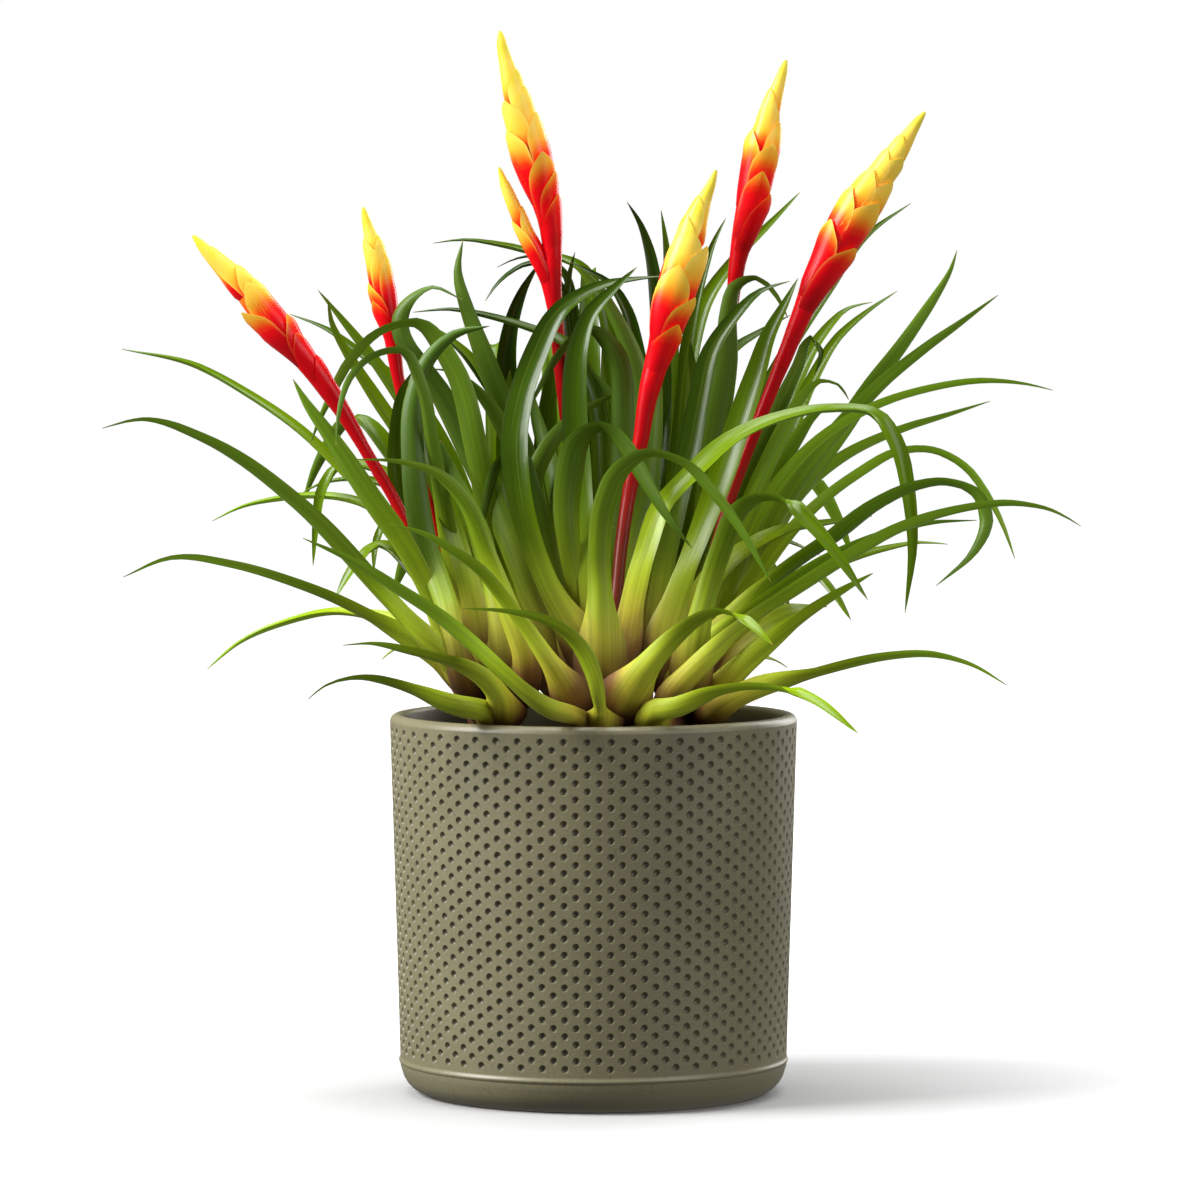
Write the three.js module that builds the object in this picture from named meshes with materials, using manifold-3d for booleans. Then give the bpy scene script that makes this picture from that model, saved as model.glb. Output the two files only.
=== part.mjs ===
import * as THREE from 'three';
import { mergeVertices } from 'three/addons/utils/BufferGeometryUtils.js';
import Module from 'manifold-3d';

// Driving dimensions, all in millimetres.
const potHeight = 149;
const potRimRadius = 80;
const potFootRadius = 75.6;
const potFootRounding = 11;
const potFloor = 8;
const potWall = 5.6;
const footBandHeight = 13;
const footBeadHeight = 0.6;
const dimpleDepth = 1.3;
const dimpleColumns = 48;
const dimpleRows = 14;
const soilTop = 134;
const soilLump = 2.4;
const soilSides = 20;
const fitGap = 0.3;
const cutGap = 0.48;
const heartRadius = 8.6;
const heartTopRadius = 6.4;
const heartTop = 172;
const socketFloor = 112;
const scapeFoot = 120;
const leafStart = 146;
const neckWidth = 9.4;
const neckAt = 40;
const slimWidth = 9.6;
const bractLength = 25;
const bractWidth = 13;
const bractSpacing = 12;

// Where the eye stands, so that a line drawn as seen from the front becomes a line in the plant.
const eyeDistance = 2400;
const eyeHeight = 313;
const eyeSide = 2.55;
const eyePitch = 2.85 * Math.PI / 180;
const eyeFocus = 6122;
const frameMiddle = 600;
const pixelSize = 0.392;

const wasm = await Module();
wasm.setup();

// A repeatable draw between 0 and 1.
function drawer(seed) {
  let state = seed;
  return () => {
    state = (state * 1103515245 + 12345) % 2147483648;
    return state / 2147483648;
  };
}

// The place seen at a picture point, at a given depth behind the pot's axis.
function place(px, py, depth) {
  const u = px - frameMiddle;
  const v = py - frameMiddle;
  const reach = eyeFocus * Math.cos(eyePitch) - v * Math.sin(eyePitch);
  const t = (eyeDistance + depth) / reach;
  const drop = t * (eyeFocus * Math.sin(eyePitch) + v * Math.cos(eyePitch));
  return new THREE.Vector3(eyeSide + u * t, depth, eyeHeight - drop);
}

// The picture point where a place is seen.
function pixelOf(x, y, z) {
  const forward = eyeDistance + y;
  const down = eyeHeight - z;
  const along = forward * Math.cos(eyePitch) + down * Math.sin(eyePitch);
  const below = down * Math.cos(eyePitch) - forward * Math.sin(eyePitch);
  const px = frameMiddle + eyeFocus * (x - eyeSide) / along;
  const py = frameMiddle + eyeFocus * below / along;
  return [px, py];
}

// Picture points written as "x,y x,y".
function pairs(text) {
  return text.split(' ').map((pair) => pair.split(',').map(Number));
}

// A smooth run of points through hand-picked ones, about one step apart.
function smoothRun(points, step) {
  const gaps = [];
  for (let i = 0; i + 1 < points.length; i += 1) {
    gaps.push(points[i].distanceTo(points[i + 1]));
  }
  const slopes = points.map((point, i) => {
    const before = i > 0 ? point.clone().sub(points[i - 1]).divideScalar(gaps[i - 1]) : null;
    const after = i < gaps.length ? points[i + 1].clone().sub(point).divideScalar(gaps[i]) : null;
    if (!before) return after;
    if (!after) return before;
    const share = gaps[i] / (gaps[i] + gaps[i - 1]);
    return before.multiplyScalar(share).add(after.multiplyScalar(1 - share));
  });
  const run = [];
  gaps.forEach((gap, i) => {
    const count = Math.max(1, Math.round(gap / step));
    for (let k = 0; k < count; k += 1) {
      const f = k / count;
      const point = points[i].clone().multiplyScalar(2 * f ** 3 - 3 * f ** 2 + 1);
      point.addScaledVector(slopes[i], gap * (f ** 3 - 2 * f ** 2 + f));
      point.addScaledVector(points[i + 1], 3 * f ** 2 - 2 * f ** 3);
      point.addScaledVector(slopes[i + 1], gap * (f ** 3 - f ** 2));
      run.push(point);
    }
  });
  run.push(points[points.length - 1].clone());
  return run;
}

// Distances along a run, and the place at one such distance.
function lengthsAlong(run) {
  const lengths = [0];
  for (let i = 1; i < run.length; i += 1) {
    lengths.push(lengths[i - 1] + run[i].distanceTo(run[i - 1]));
  }
  return lengths;
}

function pointAlong(run, lengths, distance) {
  let i = 1;
  while (i < run.length - 1 && lengths[i] < distance) i += 1;
  const f = (distance - lengths[i - 1]) / (lengths[i] - lengths[i - 1]);
  return run[i - 1].clone().lerp(run[i], Math.min(1, Math.max(0, f)));
}

function directionAlong(run, lengths, distance) {
  const reach = 3;
  const from = pointAlong(run, lengths, Math.max(0, distance - reach));
  const to = pointAlong(run, lengths, Math.min(lengths[lengths.length - 1], distance + reach));
  return to.sub(from).normalize();
}

// Values read off a list of [where, value] knots, straight between them.
function between(knots, where) {
  if (where <= knots[0][0]) return knots[0][1];
  for (let i = 1; i < knots.length; i += 1) {
    if (where <= knots[i][0]) {
      const f = (where - knots[i - 1][0]) / (knots[i][0] - knots[i - 1][0]);
      return knots[i - 1][1] + f * (knots[i][1] - knots[i - 1][1]);
    }
  }
  return knots[knots.length - 1][1];
}

// A closed body from rings of points, each ring with the same count.
function bodyFromRings(rings) {
  const count = rings[0].length;
  const positions = [];
  rings.forEach((ring) => ring.forEach((p) => positions.push(p.x, p.y, p.z)));
  const faces = [];
  for (let j = 0; j + 1 < rings.length; j += 1) {
    for (let i = 0; i < count; i += 1) {
      const a = j * count + i;
      const b = j * count + (i + 1) % count;
      faces.push(a, b, b + count, a, b + count, a + count);
    }
  }
  const last = (rings.length - 1) * count;
  for (let i = 1; i + 1 < count; i += 1) {
    faces.push(0, i + 1, i, last, last + i, last + i + 1);
  }
  return solid(positions, faces);
}

// A body for joins and cuts, turned the right way out.
function solid(positions, faces) {
  const mesh = new wasm.Mesh({
    numProp: 3,
    vertProperties: new Float32Array(positions),
    triVerts: new Uint32Array(faces),
  });
  mesh.merge();
  const body = new wasm.Manifold(mesh);
  if (body.volume() > 0) return body;
  const turned = [];
  for (let i = 0; i < faces.length; i += 3) turned.push(faces[i], faces[i + 2], faces[i + 1]);
  return solid(positions, turned);
}

function joined(bodies) {
  return wasm.Manifold.union(bodies);
}

// The largest single body of several.
function largest(body) {
  const parts = body.decompose();
  return parts.reduce((best, part) => (part.volume() > best.volume() ? part : best));
}

function meshOf(name, body, colour, roughness) {
  const result = body.getMesh();
  const geometry = new THREE.BufferGeometry();
  geometry.setAttribute('position', new THREE.BufferAttribute(Float32Array.from(result.vertProperties), 3));
  geometry.setIndex(Array.from(result.triVerts));
  const clean = mergeVertices(geometry, 1e-4);
  clean.computeVertexNormals();
  const material = new THREE.MeshStandardMaterial({ color: colour, roughness, metalness: 0 });
  const mesh = new THREE.Mesh(clean, material);
  mesh.name = name;
  return mesh;
}

// The six plants in the pot: where each stands, as seen from above.
const plants = [
  { name: 'front_left', x: -40, y: -22 },
  { name: 'front_centre', x: 2, y: -40 },
  { name: 'front_right', x: 40, y: -16 },
  { name: 'back_left', x: -36, y: 28 },
  { name: 'back_centre', x: -2, y: 12 },
  { name: 'back_right', x: 32, y: 32 },
];

// A leaf: blade width, depth at its root and tip, its line as seen from the front, base width.
function leaf(width, rootDepth, tipDepth, line, bulb = 13) {
  return { width, rootDepth, tipDepth, line, bulb };
}

const leaves = {
  front_left: [
    leaf(11, -32, -95, '468,672 430,642 385,597 300,508 200,439 140,420 102,428', 17),
    leaf(13, -30, -55, '458,672 438,612 412,560 370,500 325,432 305,402 293,379'),
    leaf(10, -28, -70, '466,680 432,652 380,622 300,587 230,566 170,559 123,577'),
    leaf(9, -8, 40, '462,676 430,640 390,620 335,613 285,624 240,643 207,669'),
    leaf(10, -46, -110, '507,712 494,678 460,665 410,653 370,644 343,645', 21),
    leaf(9.5, -40, -90, '490,730 470,716 430,697 390,684 350,679 325,686 308,699'),
    leaf(11, -38, -30, '458,660 447,605 424,540 413,460 414,400 427,361 455,334 490,326'),
    leaf(10, -20, -10, '462,655 440,600 412,550 398,490 396,430 402,390 412,372'),
    leaf(11, -30, -15, '484,655 476,610 460,555 440,490 425,445 418,400 416,360', 18),
    leaf(7, -14, -55, '475,650 452,560 432,450 418,380 402,352 378,355 352,378 340,410 336,445', 12),
    leaf(8.5, -42, -80, '530,672 516,630 500,590 482,545 465,505 440,478 400,463 357,459'),
    leaf(11, -36, -30, '508,668 500,620 490,575 478,535 462,500 448,465 440,440', 18),
    leaf(10, -5, 5, '495,640 480,570 462,510 440,462 426,428 418,400', 12),
  ],
  front_centre: [
    leaf(12, -24, 0, '583,640 560,608 536,555 519,490 515,440 521,400 '
      + '536,355 560,312 600,288 640,279 668,276', 18),
    leaf(10.5, -48, -75, '602,668 601,610 600,550 606,505 620,474 650,455 '
      + '682,464 712,495 742,535 771,582', 19),
    leaf(10.5, -52, -105, '632,700 650,668 675,638 705,617 722,612 745,621 773,645', 21),
    leaf(9, -60, -110, '602,722 600,695 594,665 578,640 550,624 510,613 463,608', 20),
    leaf(8.5, -52, -95, '566,708 552,672 530,640 505,602 480,573 450,551 420,533 388,524', 19),
    leaf(11, -58, -100, '572,728 540,702 505,675 470,645 435,616 395,590 355,564 303,538'),
    leaf(12, -20, -12, '595,650 592,600 585,540 579,480 576,430 575,385 579,345 592,312 612,291 637,267'),
    leaf(13, -8, -50, '590,640 572,560 570,480 582,440 602,428 622,447 645,485 668,520 692,548'),
    leaf(11, -38, -20, '626,650 632,600 645,555 662,508 690,478 730,442 785,418 '
      + '840,410 872,414 895,445 907,495 911,545 905,613'),
  ],
  front_right: [
    leaf(13, -25, -10, '662,650 672,610 692,555 712,505 730,455 745,410 '
      + '757,375 770,335 785,305 798,278', 18),
    leaf(11, -8, 5, '655,640 662,580 678,500 690,450 700,400 712,352 735,318 762,291 790,281'),
    leaf(10.5, -38, -80, '692,655 705,600 722,550 740,512 762,499 785,502 805,520 830,548 868,600', 18),
    leaf(11, -42, -60, '665,700 700,665 740,628 790,596 850,558 900,530 '
      + '960,511 1020,505 1055,512 1081,526'),
    leaf(10, -30, -40, '672,690 700,652 735,622 780,592 830,560 880,538 930,524 977,520'),
    leaf(11.5, -25, -50, '690,665 730,620 780,575 830,542 880,505 920,487 '
      + '950,484 975,495 985,520 973,550 936,586'),
    leaf(7, -12, 5, '700,665 745,620 790,590 840,565 890,549 920,543 948,544', 12),
    leaf(10, -30, -45, '712,698 745,662 785,630 825,603 850,587 873,573'),
    leaf(10.5, -36, -75, '712,712 745,690 790,680 840,668 890,658 930,656 970,665 1007,685'),
    leaf(10.5, -55, -115, '650,728 680,708 715,693 750,688 785,691 815,702 858,733', 18),
    leaf(7.5, -5, 20, '715,660 735,640 760,625 785,612 827,606', 12),
    leaf(11, -12, 15, '686,640 702,585 740,553 780,533 820,525 872,516'),
    leaf(9, 6, 14, '690,630 715,570 745,548 780,541 820,555', 12),
  ],
  back_right: [
    leaf(13, 8, 25, '705,640 745,570 790,505 840,437 875,385 905,345 935,300 952,268 957,250'),
    leaf(11.5, 12, 10, '712,640 755,560 800,480 845,425 880,388 920,355 960,325 998,295'),
    leaf(8.5, 8, 0, '708,640 740,560 780,485 825,438 875,408 930,390 985,382 1030,385 1053,390', 12),
    leaf(11, 14, 20, '715,645 755,570 800,495 850,455 900,432 945,417 990,401'),
    leaf(7.5, 8, -8, '720,640 770,560 820,505 860,475 900,453 930,451 '
      + '960,465 985,495 1002,525 1015,559', 12),
    leaf(11, 20, 40, '700,620 735,530 770,450 800,375 825,333 850,308 872,302'),
    leaf(9, 14, 35, '708,620 745,540 785,450 815,378 840,338 868,312 897,291'),
    leaf(10, 10, 0, '700,600 740,500 775,420 800,365 811,338 821,352 814,375', 12),
    leaf(10, 4, 0, '704,620 745,520 778,445 800,403 820,382 838,385 849,400', 12),
    leaf(11.5, 12, 20, '710,620 740,560 770,490 795,445 820,412 850,403'),
    leaf(12, 20, 10, '690,620 705,520 718,430 728,360 730,310 735,290 755,279 775,295 788,318'),
    leaf(11, 26, 40, '685,600 695,480 708,390 730,355 765,330 790,315'),
    leaf(9.5, 35, 60, '680,600 685,450 692,350 705,305 735,262 770,225 800,192'),
    leaf(9, 28, 50, '700,600 740,450 790,350 830,290 870,234 911,203'),
    leaf(8, 30, 45, '672,600 678,450 690,340 705,270 715,240 726,218', 12),
  ],
  back_centre: [
    leaf(12.5, 2, 8, '568,650 545,560 520,450 495,390 478,345 464,305 457,270 463,240'),
    leaf(9, 14, 12, '590,640 600,500 590,390 565,345 530,330 490,318 450,310 413,312', 12),
    leaf(9.5, 30, 35, '600,640 615,480 612,360 600,300 575,265 540,256 500,246 460,240 433,243'),
    leaf(10.5, 28, 20, '585,640 580,480 570,350 555,285 535,264 512,272 495,287 485,301'),
    leaf(7, 34, 40, '586,600 580,500 575,330 560,270 535,257 515,259 497,267', 12),
    leaf(12, 22, 30, '545,620 520,480 505,380 510,325 525,285 540,262'),
    leaf(8.5, 22, 28, '590,620 578,480 568,380 565,310 569,275 575,252', 12),
    leaf(11, 14, 5, '620,620 643,480 643,400 630,350 612,312 595,283 578,266'),
    leaf(9, 26, 20, '625,600 640,450 636,350 625,308 610,285 590,272 570,262', 12),
    leaf(12, 10, 30, '600,640 608,520 612,430 607,365 603,334'),
    leaf(10.5, 20, 28, '625,620 655,480 662,380 658,300 650,250 640,222 627,202'),
    leaf(9, 26, 34, '630,600 660,450 672,340 670,280 666,240 661,210', 12),
    leaf(9, 5, 0, '566,650 548,560 532,490 548,450 572,421 600,402 622,392'),
    leaf(8, 6, 15, '630,600 638,480 632,440 615,405 598,383 575,358 560,345', 12),
    leaf(9.5, -8, -12, '570,640 548,560 530,490 515,455 500,465 490,490 481,533', 12),
    leaf(11, 8, -12, '612,640 618,520 622,420 612,350 590,331 565,350 545,380 527,412'),
    leaf(10.5, 12, 0, '565,640 538,540 512,450 490,410 468,384 448,371 430,369'),
    leaf(6.5, 20, 25, '550,600 530,540 510,450 490,390 470,358 442,334 416,319', 12),
    leaf(8, 24, 30, '555,610 515,480 500,410 480,378 460,352 440,335', 12),
    leaf(12.5, 0, 5, '560,655 530,600 508,545 488,495 465,445 440,397 415,362 '
      + '401,340 399,315 410,297 432,286 462,300'),
    leaf(11.5, -6, 8, '588,655 584,610 570,548 555,492 545,455 536,420 530,385'),
    leaf(11, 0, 12, '612,640 624,590 636,548 648,505 655,450 658,410 660,370'),
  ],
  back_left: [
    leaf(8.5, 14, 30, '480,655 435,575 392,520 345,475 300,432 250,397 190,365 122,349', 12),
    leaf(8, 20, 70, '480,660 440,580 400,528 360,504 320,497 280,500 240,508 212,521', 12),
    leaf(7.5, 30, 75, '480,660 445,560 410,500 375,483 345,480 318,485 297,496', 12),
    leaf(9.5, 26, 60, '480,655 445,560 405,490 365,467 340,467 325,487 317,525 313,566'),
    leaf(9, 36, 62, '485,660 455,590 425,530 402,512 384,526 375,550 374,573'),
    leaf(9.5, 28, 60, '488,640 465,540 430,450 390,385 355,338 318,290'),
    leaf(9.5, 22, 45, '484,645 455,550 415,460 375,400 345,352 331,322 328,299'),
    leaf(8, 36, 75, '492,650 478,550 445,450 405,390 360,355 325,329 290,314'),
    leaf(11.5, 6, -10, '495,645 490,560 475,450 450,365 415,325 385,331 352,362 333,395 318,425 310,444'),
  ],
};

// Leaves hidden behind the others: heading (90 is straight back), reach, height, droop, width.
function hiddenLeaf(heading, reach, height, droop, width) {
  return { heading, reach, height, droop, width, bulb: 14 };
}

const hiddenLeaves = {
  back_left: [
    hiddenLeaf(150, 95, 120, 40, 10),
    hiddenLeaf(118, 100, 70, 30, 11),
    hiddenLeaf(95, 80, 150, 20, 10),
    hiddenLeaf(132, 75, 30, 8, 10),
    hiddenLeaf(165, 70, 70, 25, 9),
  ],
  back_centre: [
    hiddenLeaf(100, 110, 150, 45, 11),
    hiddenLeaf(78, 95, 95, 35, 10),
    hiddenLeaf(90, 70, 180, 10, 11),
  ],
  back_right: [
    hiddenLeaf(35, 90, 95, 40, 10),
    hiddenLeaf(62, 105, 60, 25, 11),
    hiddenLeaf(80, 85, 135, 25, 10),
    hiddenLeaf(48, 70, 25, 6, 10),
    hiddenLeaf(18, 75, 60, 25, 9),
  ],
};

// A flower spike: the plant it rises from, its depth, its line from foot to tip, its measures.
function spike(name, plant, depth, head, width, scape, line) {
  return { name, plant, depth, head, width, scape, line };
}

const spikes = [
  spike('spike_left', 0, -20, 84, 15.5, 7.6,
    '440,590 403,520 365,450 335,400 310,362 275,318 250,290 223,262 192,235'),
  spike('spike_back_left', 3, 25, 56, 13.4, 6.2,
    '455,600 430,500 400,388 395,345 385,300 372,250 363,207'),
  spike('spike_tall', 4, 15, 98, 18, 7,
    '584,640 572,480 558,340 555,300 553,270 551,240 545,200 535,160 526,120 512,80 500,31'),
  spike('spike_centre', 1, -18, 88, 18, 7.6,
    '617,590 622,540 628,500 636,460 643,430 650,400 657,370 664,330 675,290 686,255 702,215 716,170'),
  spike('spike_back_right', 5, 30, 90, 16.4, 6.4,
    '680,640 705,480 728,330 735,285 742,250 749,225 754,195 760,160 768,125 776,95 786,60'),
  spike('spike_right', 2, -5, 118, 19, 7.4,
    '712,560 728,505 742,465 757,418 770,400 785,370 800,335 '
    + '810,305 828,270 845,240 865,205 895,160 925,113'),
];

// The side branch of the tall spike, which starts inside its scape.
const sideBranch = spike('side_branch', 4, 15, 58, 10, 4,
  '557,335 552,308 545,285 533,256 522,232 511,205 499,167');

// A spike's line rises straight out of the plant's heart, then eases over to the spike's own depth.
function spikeRun(one) {
  const plant = plants[one.plant];
  const easeHeight = 90;
  const points = [
    new THREE.Vector3(plant.x, plant.y, scapeFoot),
    new THREE.Vector3(plant.x, plant.y, scapeFoot + 16),
  ];
  pairs(one.line).forEach(([px, py]) => {
    const rise = Math.min(1, (place(px, py, 0).z - leafStart) / easeHeight);
    const depth = plant.y + (one.depth - plant.y) * Math.max(0.2, rise);
    points.push(place(px, py, depth));
  });
  return smoothRun(points, 4);
}

function branchRun(one) {
  return smoothRun(pairs(one.line).map(([px, py]) => place(px, py, one.depth)), 4);
}

const branches = spikes.map((one) => ({ one, run: spikeRun(one) }));
branches.push({ one: sideBranch, run: branchRun(sideBranch) });

// A leaf's line as picture points with depth, from the plant's heart outward.
function leafLine(plant, one) {
  const [heartX, heartY] = pixelOf(plant.x, plant.y, leafStart);
  const route = pairs(one.line);
  const reach = [0];
  for (let i = 1; i < route.length; i += 1) {
    reach.push(reach[i - 1] + Math.hypot(route[i][0] - route[i - 1][0], route[i][1] - route[i - 1][1]));
  }
  const points = [new THREE.Vector3(heartX, heartY, plant.y / pixelSize)];
  route.forEach(([px, py], i) => {
    const share = reach[i] / reach[reach.length - 1];
    const depth = one.rootDepth + (one.tipDepth - one.rootDepth) * share;
    points.push(new THREE.Vector3(px, py, depth / pixelSize));
  });
  return smoothRun(points, 12).map((p) => [p.x, p.y, p.z * pixelSize]);
}

// A hidden leaf's line: up, over and down again, in the upright plane of its heading.
const archShape = [[0, 0], [0.1, 0.16], [0.28, 0.5], [0.52, 0.86], [0.74, 1], [0.9, 0.97], [1, 0.88]];
const archTop = 0.74;

function hiddenLine(plant, one) {
  const heading = one.heading * Math.PI / 180;
  const points = archShape.map(([out, up]) => {
    const drop = one.droop * 2 * Math.max(0, out - archTop);
    const x = plant.x + one.reach * out * Math.cos(heading);
    const y = plant.y + one.reach * out * Math.sin(heading);
    return new THREE.Vector3(x, y, leafStart + one.height * up - drop);
  });
  return smoothRun(points, 5).map((p) => [...pixelOf(p.x, p.y, p.z), p.y]);
}

// Width directions along a leaf: level and square to its heading, turned part way to the front.
function widthDirections(run) {
  const turn = 0.6;
  const heading = run[run.length - 1].clone().sub(run[0]);
  const level = new THREE.Vector3(-heading.y, heading.x, 0).normalize();
  const back = new THREE.Vector3(0, 1, 0);
  const lengths = lengthsAlong(run);
  let guide = new THREE.Vector3(level.x >= 0 ? 1 : -1, 0, 0);
  return run.map((point, i) => {
    const along = directionAlong(run, lengths, lengths[i]);
    const flat = level.clone().addScaledVector(along, -level.dot(along)).normalize();
    const facing = back.clone().cross(along);
    if (facing.dot(guide) < 0) facing.negate();
    const width = flat.multiplyScalar(1 - turn).addScaledVector(facing, turn);
    width.addScaledVector(along, -width.dot(along)).normalize();
    guide = width;
    return width;
  });
}

// Half width of a leaf: a swollen base, a narrow neck, then a blade that tapers to a point.
function leafHalf(one, distance, whole) {
  const blade = whole - neckAt;
  const knots = [
    [0, one.bulb * 0.3],
    [16, one.bulb * 0.5],
    [26, one.bulb * 0.42],
    [neckAt, neckWidth / 2],
    [neckAt + blade * 0.4, one.width / 2],
    [neckAt + blade * 0.68, one.width * 0.45],
    [neckAt + blade * 0.88, one.width * 0.24],
    [whole, 0.45],
  ];
  return between(knots, distance);
}

// How thick a leaf is below its middle, and how far its edges rise, by distance from its start.
const leafThickness = [[0, 4], [16, 4], [26, 3.4], [neckAt, 1.9], [62, 1], [400, 0.9]];
const leafTrough = [[0, 1.5], [16, 1.5], [26, 1], [neckAt, 0.3], [70, 1.9], [400, 1.9]];

function taper(distance, whole) {
  return 0.45 + 0.55 * Math.min(1, (whole - distance) / 50);
}

// Half width of a spike at a distance below its tip.
function spikeHalf(one, below) {
  const knots = [
    [0, 0.8],
    [one.head * 0.12, one.width * 0.17],
    [one.head * 0.35, one.width * 0.33],
    [one.head * 0.6, one.width * 0.49],
    [one.head * 0.72, one.width * 0.5],
    [one.head, one.scape / 2 + 0.4],
    [one.head + 20, one.scape / 2],
  ];
  return between(knots, below);
}

// What a leaf covers at each step of its line: across the view, and in depth.
function leafSamples(one, line) {
  const run = line.map((point) => place(...point));
  const lengths = lengthsAlong(run);
  const whole = lengths[lengths.length - 1];
  const widths = widthDirections(run);
  return line.map(([px, py, depth], i) => {
    const half = leafHalf(one, lengths[i], whole);
    const body = between(leafThickness, lengths[i]) + between(leafTrough, lengths[i]) / 2;
    const side = Math.abs(widths[i].y);
    const across = half * Math.sqrt(1 - side * side) + 1;
    const deep = half * side + body * (1 - side) + 0.4;
    const free = Math.min(1, Math.max(0, (lengths[i] - 10) / 26));
    return { px, py, depth, across, deep, free };
  });
}

function spikeSamples(one, run) {
  const lengths = lengthsAlong(run);
  const whole = lengths[lengths.length - 1];
  return run.map((point, i) => {
    const [px, py] = pixelOf(point.x, point.y, point.z);
    const half = spikeHalf(one, whole - lengths[i]) * 1.04 + 0.6;
    return { px, py, depth: point.y, across: half, deep: half, free: 0 };
  });
}

// Steps of two lines that lie over each other as seen from the front, and which one is in front.
function meetings(one, other) {
  const found = [];
  let lean = 0;
  one.samples.forEach((a) => other.samples.forEach((b) => {
    const apart = Math.hypot(a.px - b.px, a.py - b.py) * pixelSize;
    if (apart < a.across + b.across) {
      found.push([a, b]);
      lean += (b.depth - a.depth) * (a.free + b.free);
    }
  }));
  const shortCrossing = 14;
  const same = one.group === other.group;
  return found.map(([a, b]) => {
    const order = found.length < shortCrossing ? lean : b.depth - a.depth;
    const room = same ? (a.deep + b.deep) * 0.6 + 1.2 : a.deep + b.deep + 0.8;
    return { a, b, room, sign: order >= 0 ? 1 : -1 };
  });
}

// One round of pushing apart, in depth only, so that the front view stays as it is.
function pushApart(meets, bodies) {
  bodies.forEach((body) => body.samples.forEach((sample) => {
    sample.push = 0;
    sample.count = 0;
  }));
  meets.forEach(({ a, b, room, sign }) => {
    const short = room - (b.depth - a.depth) * sign;
    const total = a.free + b.free;
    if (short > 0 && total > 0) {
      a.push -= sign * short * a.free / total;
      b.push += sign * short * b.free / total;
      a.count += 1;
      b.count += 1;
    }
  });
}

// Moves a leaf by its pushes, spread along it so that it stays a smooth line.
function shiftLeaf(samples) {
  let moves = samples.map((sample) => (sample.count ? sample.push / sample.count : 0));
  for (let pass = 0; pass < 3; pass += 1) {
    moves = moves.map((move, i) => {
      const before = moves[Math.max(0, i - 1)];
      const after = moves[Math.min(moves.length - 1, i + 1)];
      const mean = (before + move + after) / 3;
      return Math.abs(mean) > Math.abs(move) ? mean : (mean + move) / 2;
    });
  }
  samples.forEach((sample, i) => {
    sample.depth += moves[i] * sample.free * 0.7;
  });
}

// Every leaf of every plant, pushed apart in depth where two would cross.
function allLeaves() {
  const found = [];
  plants.forEach((plant, group) => {
    leaves[plant.name].forEach((one) => {
      found.push({ group, one, samples: leafSamples(one, leafLine(plant, one)) });
    });
    (hiddenLeaves[plant.name] || []).forEach((one) => {
      found.push({ group, one, slim: true, samples: leafSamples(one, hiddenLine(plant, one)) });
    });
  });
  const bodies = found.concat(branches.map(({ one, run }) => ({ samples: spikeSamples(one, run) })));
  const meets = [];
  bodies.forEach((one, i) => bodies.slice(i + 1).forEach((other) => {
    if (one.one || other.one) meets.push(...meetings(one, other));
  }));
  const rounds = 160;
  for (let round = 0; round < rounds; round += 1) {
    pushApart(meets, bodies);
    found.forEach((item) => shiftLeaf(item.samples));
  }
  return found;
}

// Lifts a leaf's line over the soil and the pot's lip.
function clearPot(run, samples) {
  const reach = 104;
  run.forEach((point, i) => {
    const out = Math.hypot(point.x, point.y);
    const room = samples[i].across * 0.5 + 3.2;
    const overSoil = soilTop + 3 + room;
    const overLip = potHeight + 1.2 + room * 0.75;
    const arriving = Math.min(1, Math.max(0, (out - potRimRadius + 22) / 10));
    const leaving = Math.min(1, Math.max(0, (reach - out) / 16));
    const floor = overSoil + (overLip - overSoil) * arriving * leaving;
    if (out < reach && point.z < floor && i > 1) point.z += (floor - point.z) * Math.min(1, i / 4);
  });
}

// Distances of a blade's sections, closer together where it bends.
function bladeStations(run, lengths, from, count) {
  const whole = lengths[lengths.length - 1];
  const step = 2;
  const bendWeight = 45;
  const knots = [[0, from]];
  let cost = 0;
  let before = directionAlong(run, lengths, from);
  for (let distance = from + step; distance < whole; distance += step) {
    const now = directionAlong(run, lengths, distance);
    cost += step + bendWeight * before.angleTo(now);
    knots.push([cost, distance]);
    before = now;
  }
  const stations = [];
  for (let k = 1; k < count; k += 1) stations.push(between(knots, cost * k / count));
  return stations.concat([whole]);
}

// A leaf's body; swell makes it larger all round. Slim leaves have a flat upper face.
function leafBody(item, swell) {
  const run = item.samples.map((sample) => place(sample.px, sample.py, sample.depth));
  clearPot(run, item.samples);
  const lengths = lengthsAlong(run);
  const whole = lengths[lengths.length - 1];
  const widths = widthDirections(run);
  const slim = item.slim || item.one.width < slimWidth;
  const stations = [0, 16, neckAt].concat(bladeStations(run, lengths, neckAt, slim ? 4 : 5));
  const rings = stations.map((distance) => {
    const point = pointAlong(run, lengths, distance);
    const along = directionAlong(run, lengths, distance);
    const width = pointAlong(widths, lengths, distance);
    width.addScaledVector(along, -width.dot(along)).normalize();
    const face = along.clone().cross(width).normalize();
    const half = leafHalf(item.one, distance, whole) + swell;
    const thin = between(leafThickness, distance) * taper(distance, whole) + swell;
    const rise = between(leafTrough, distance) * taper(distance, whole) * (slim ? 0.5 : 1);
    const at = (across, up) => point.clone().addScaledVector(width, across).addScaledVector(face, up);
    const ring = [at(-half, rise), at(0, -thin), at(half, rise)];
    if (!slim) ring.push(at(0, thin * 0.6));
    else if (swell) ring.push(at(0, rise + swell));
    return ring;
  });
  return bodyFromRings(rings);
}

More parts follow.
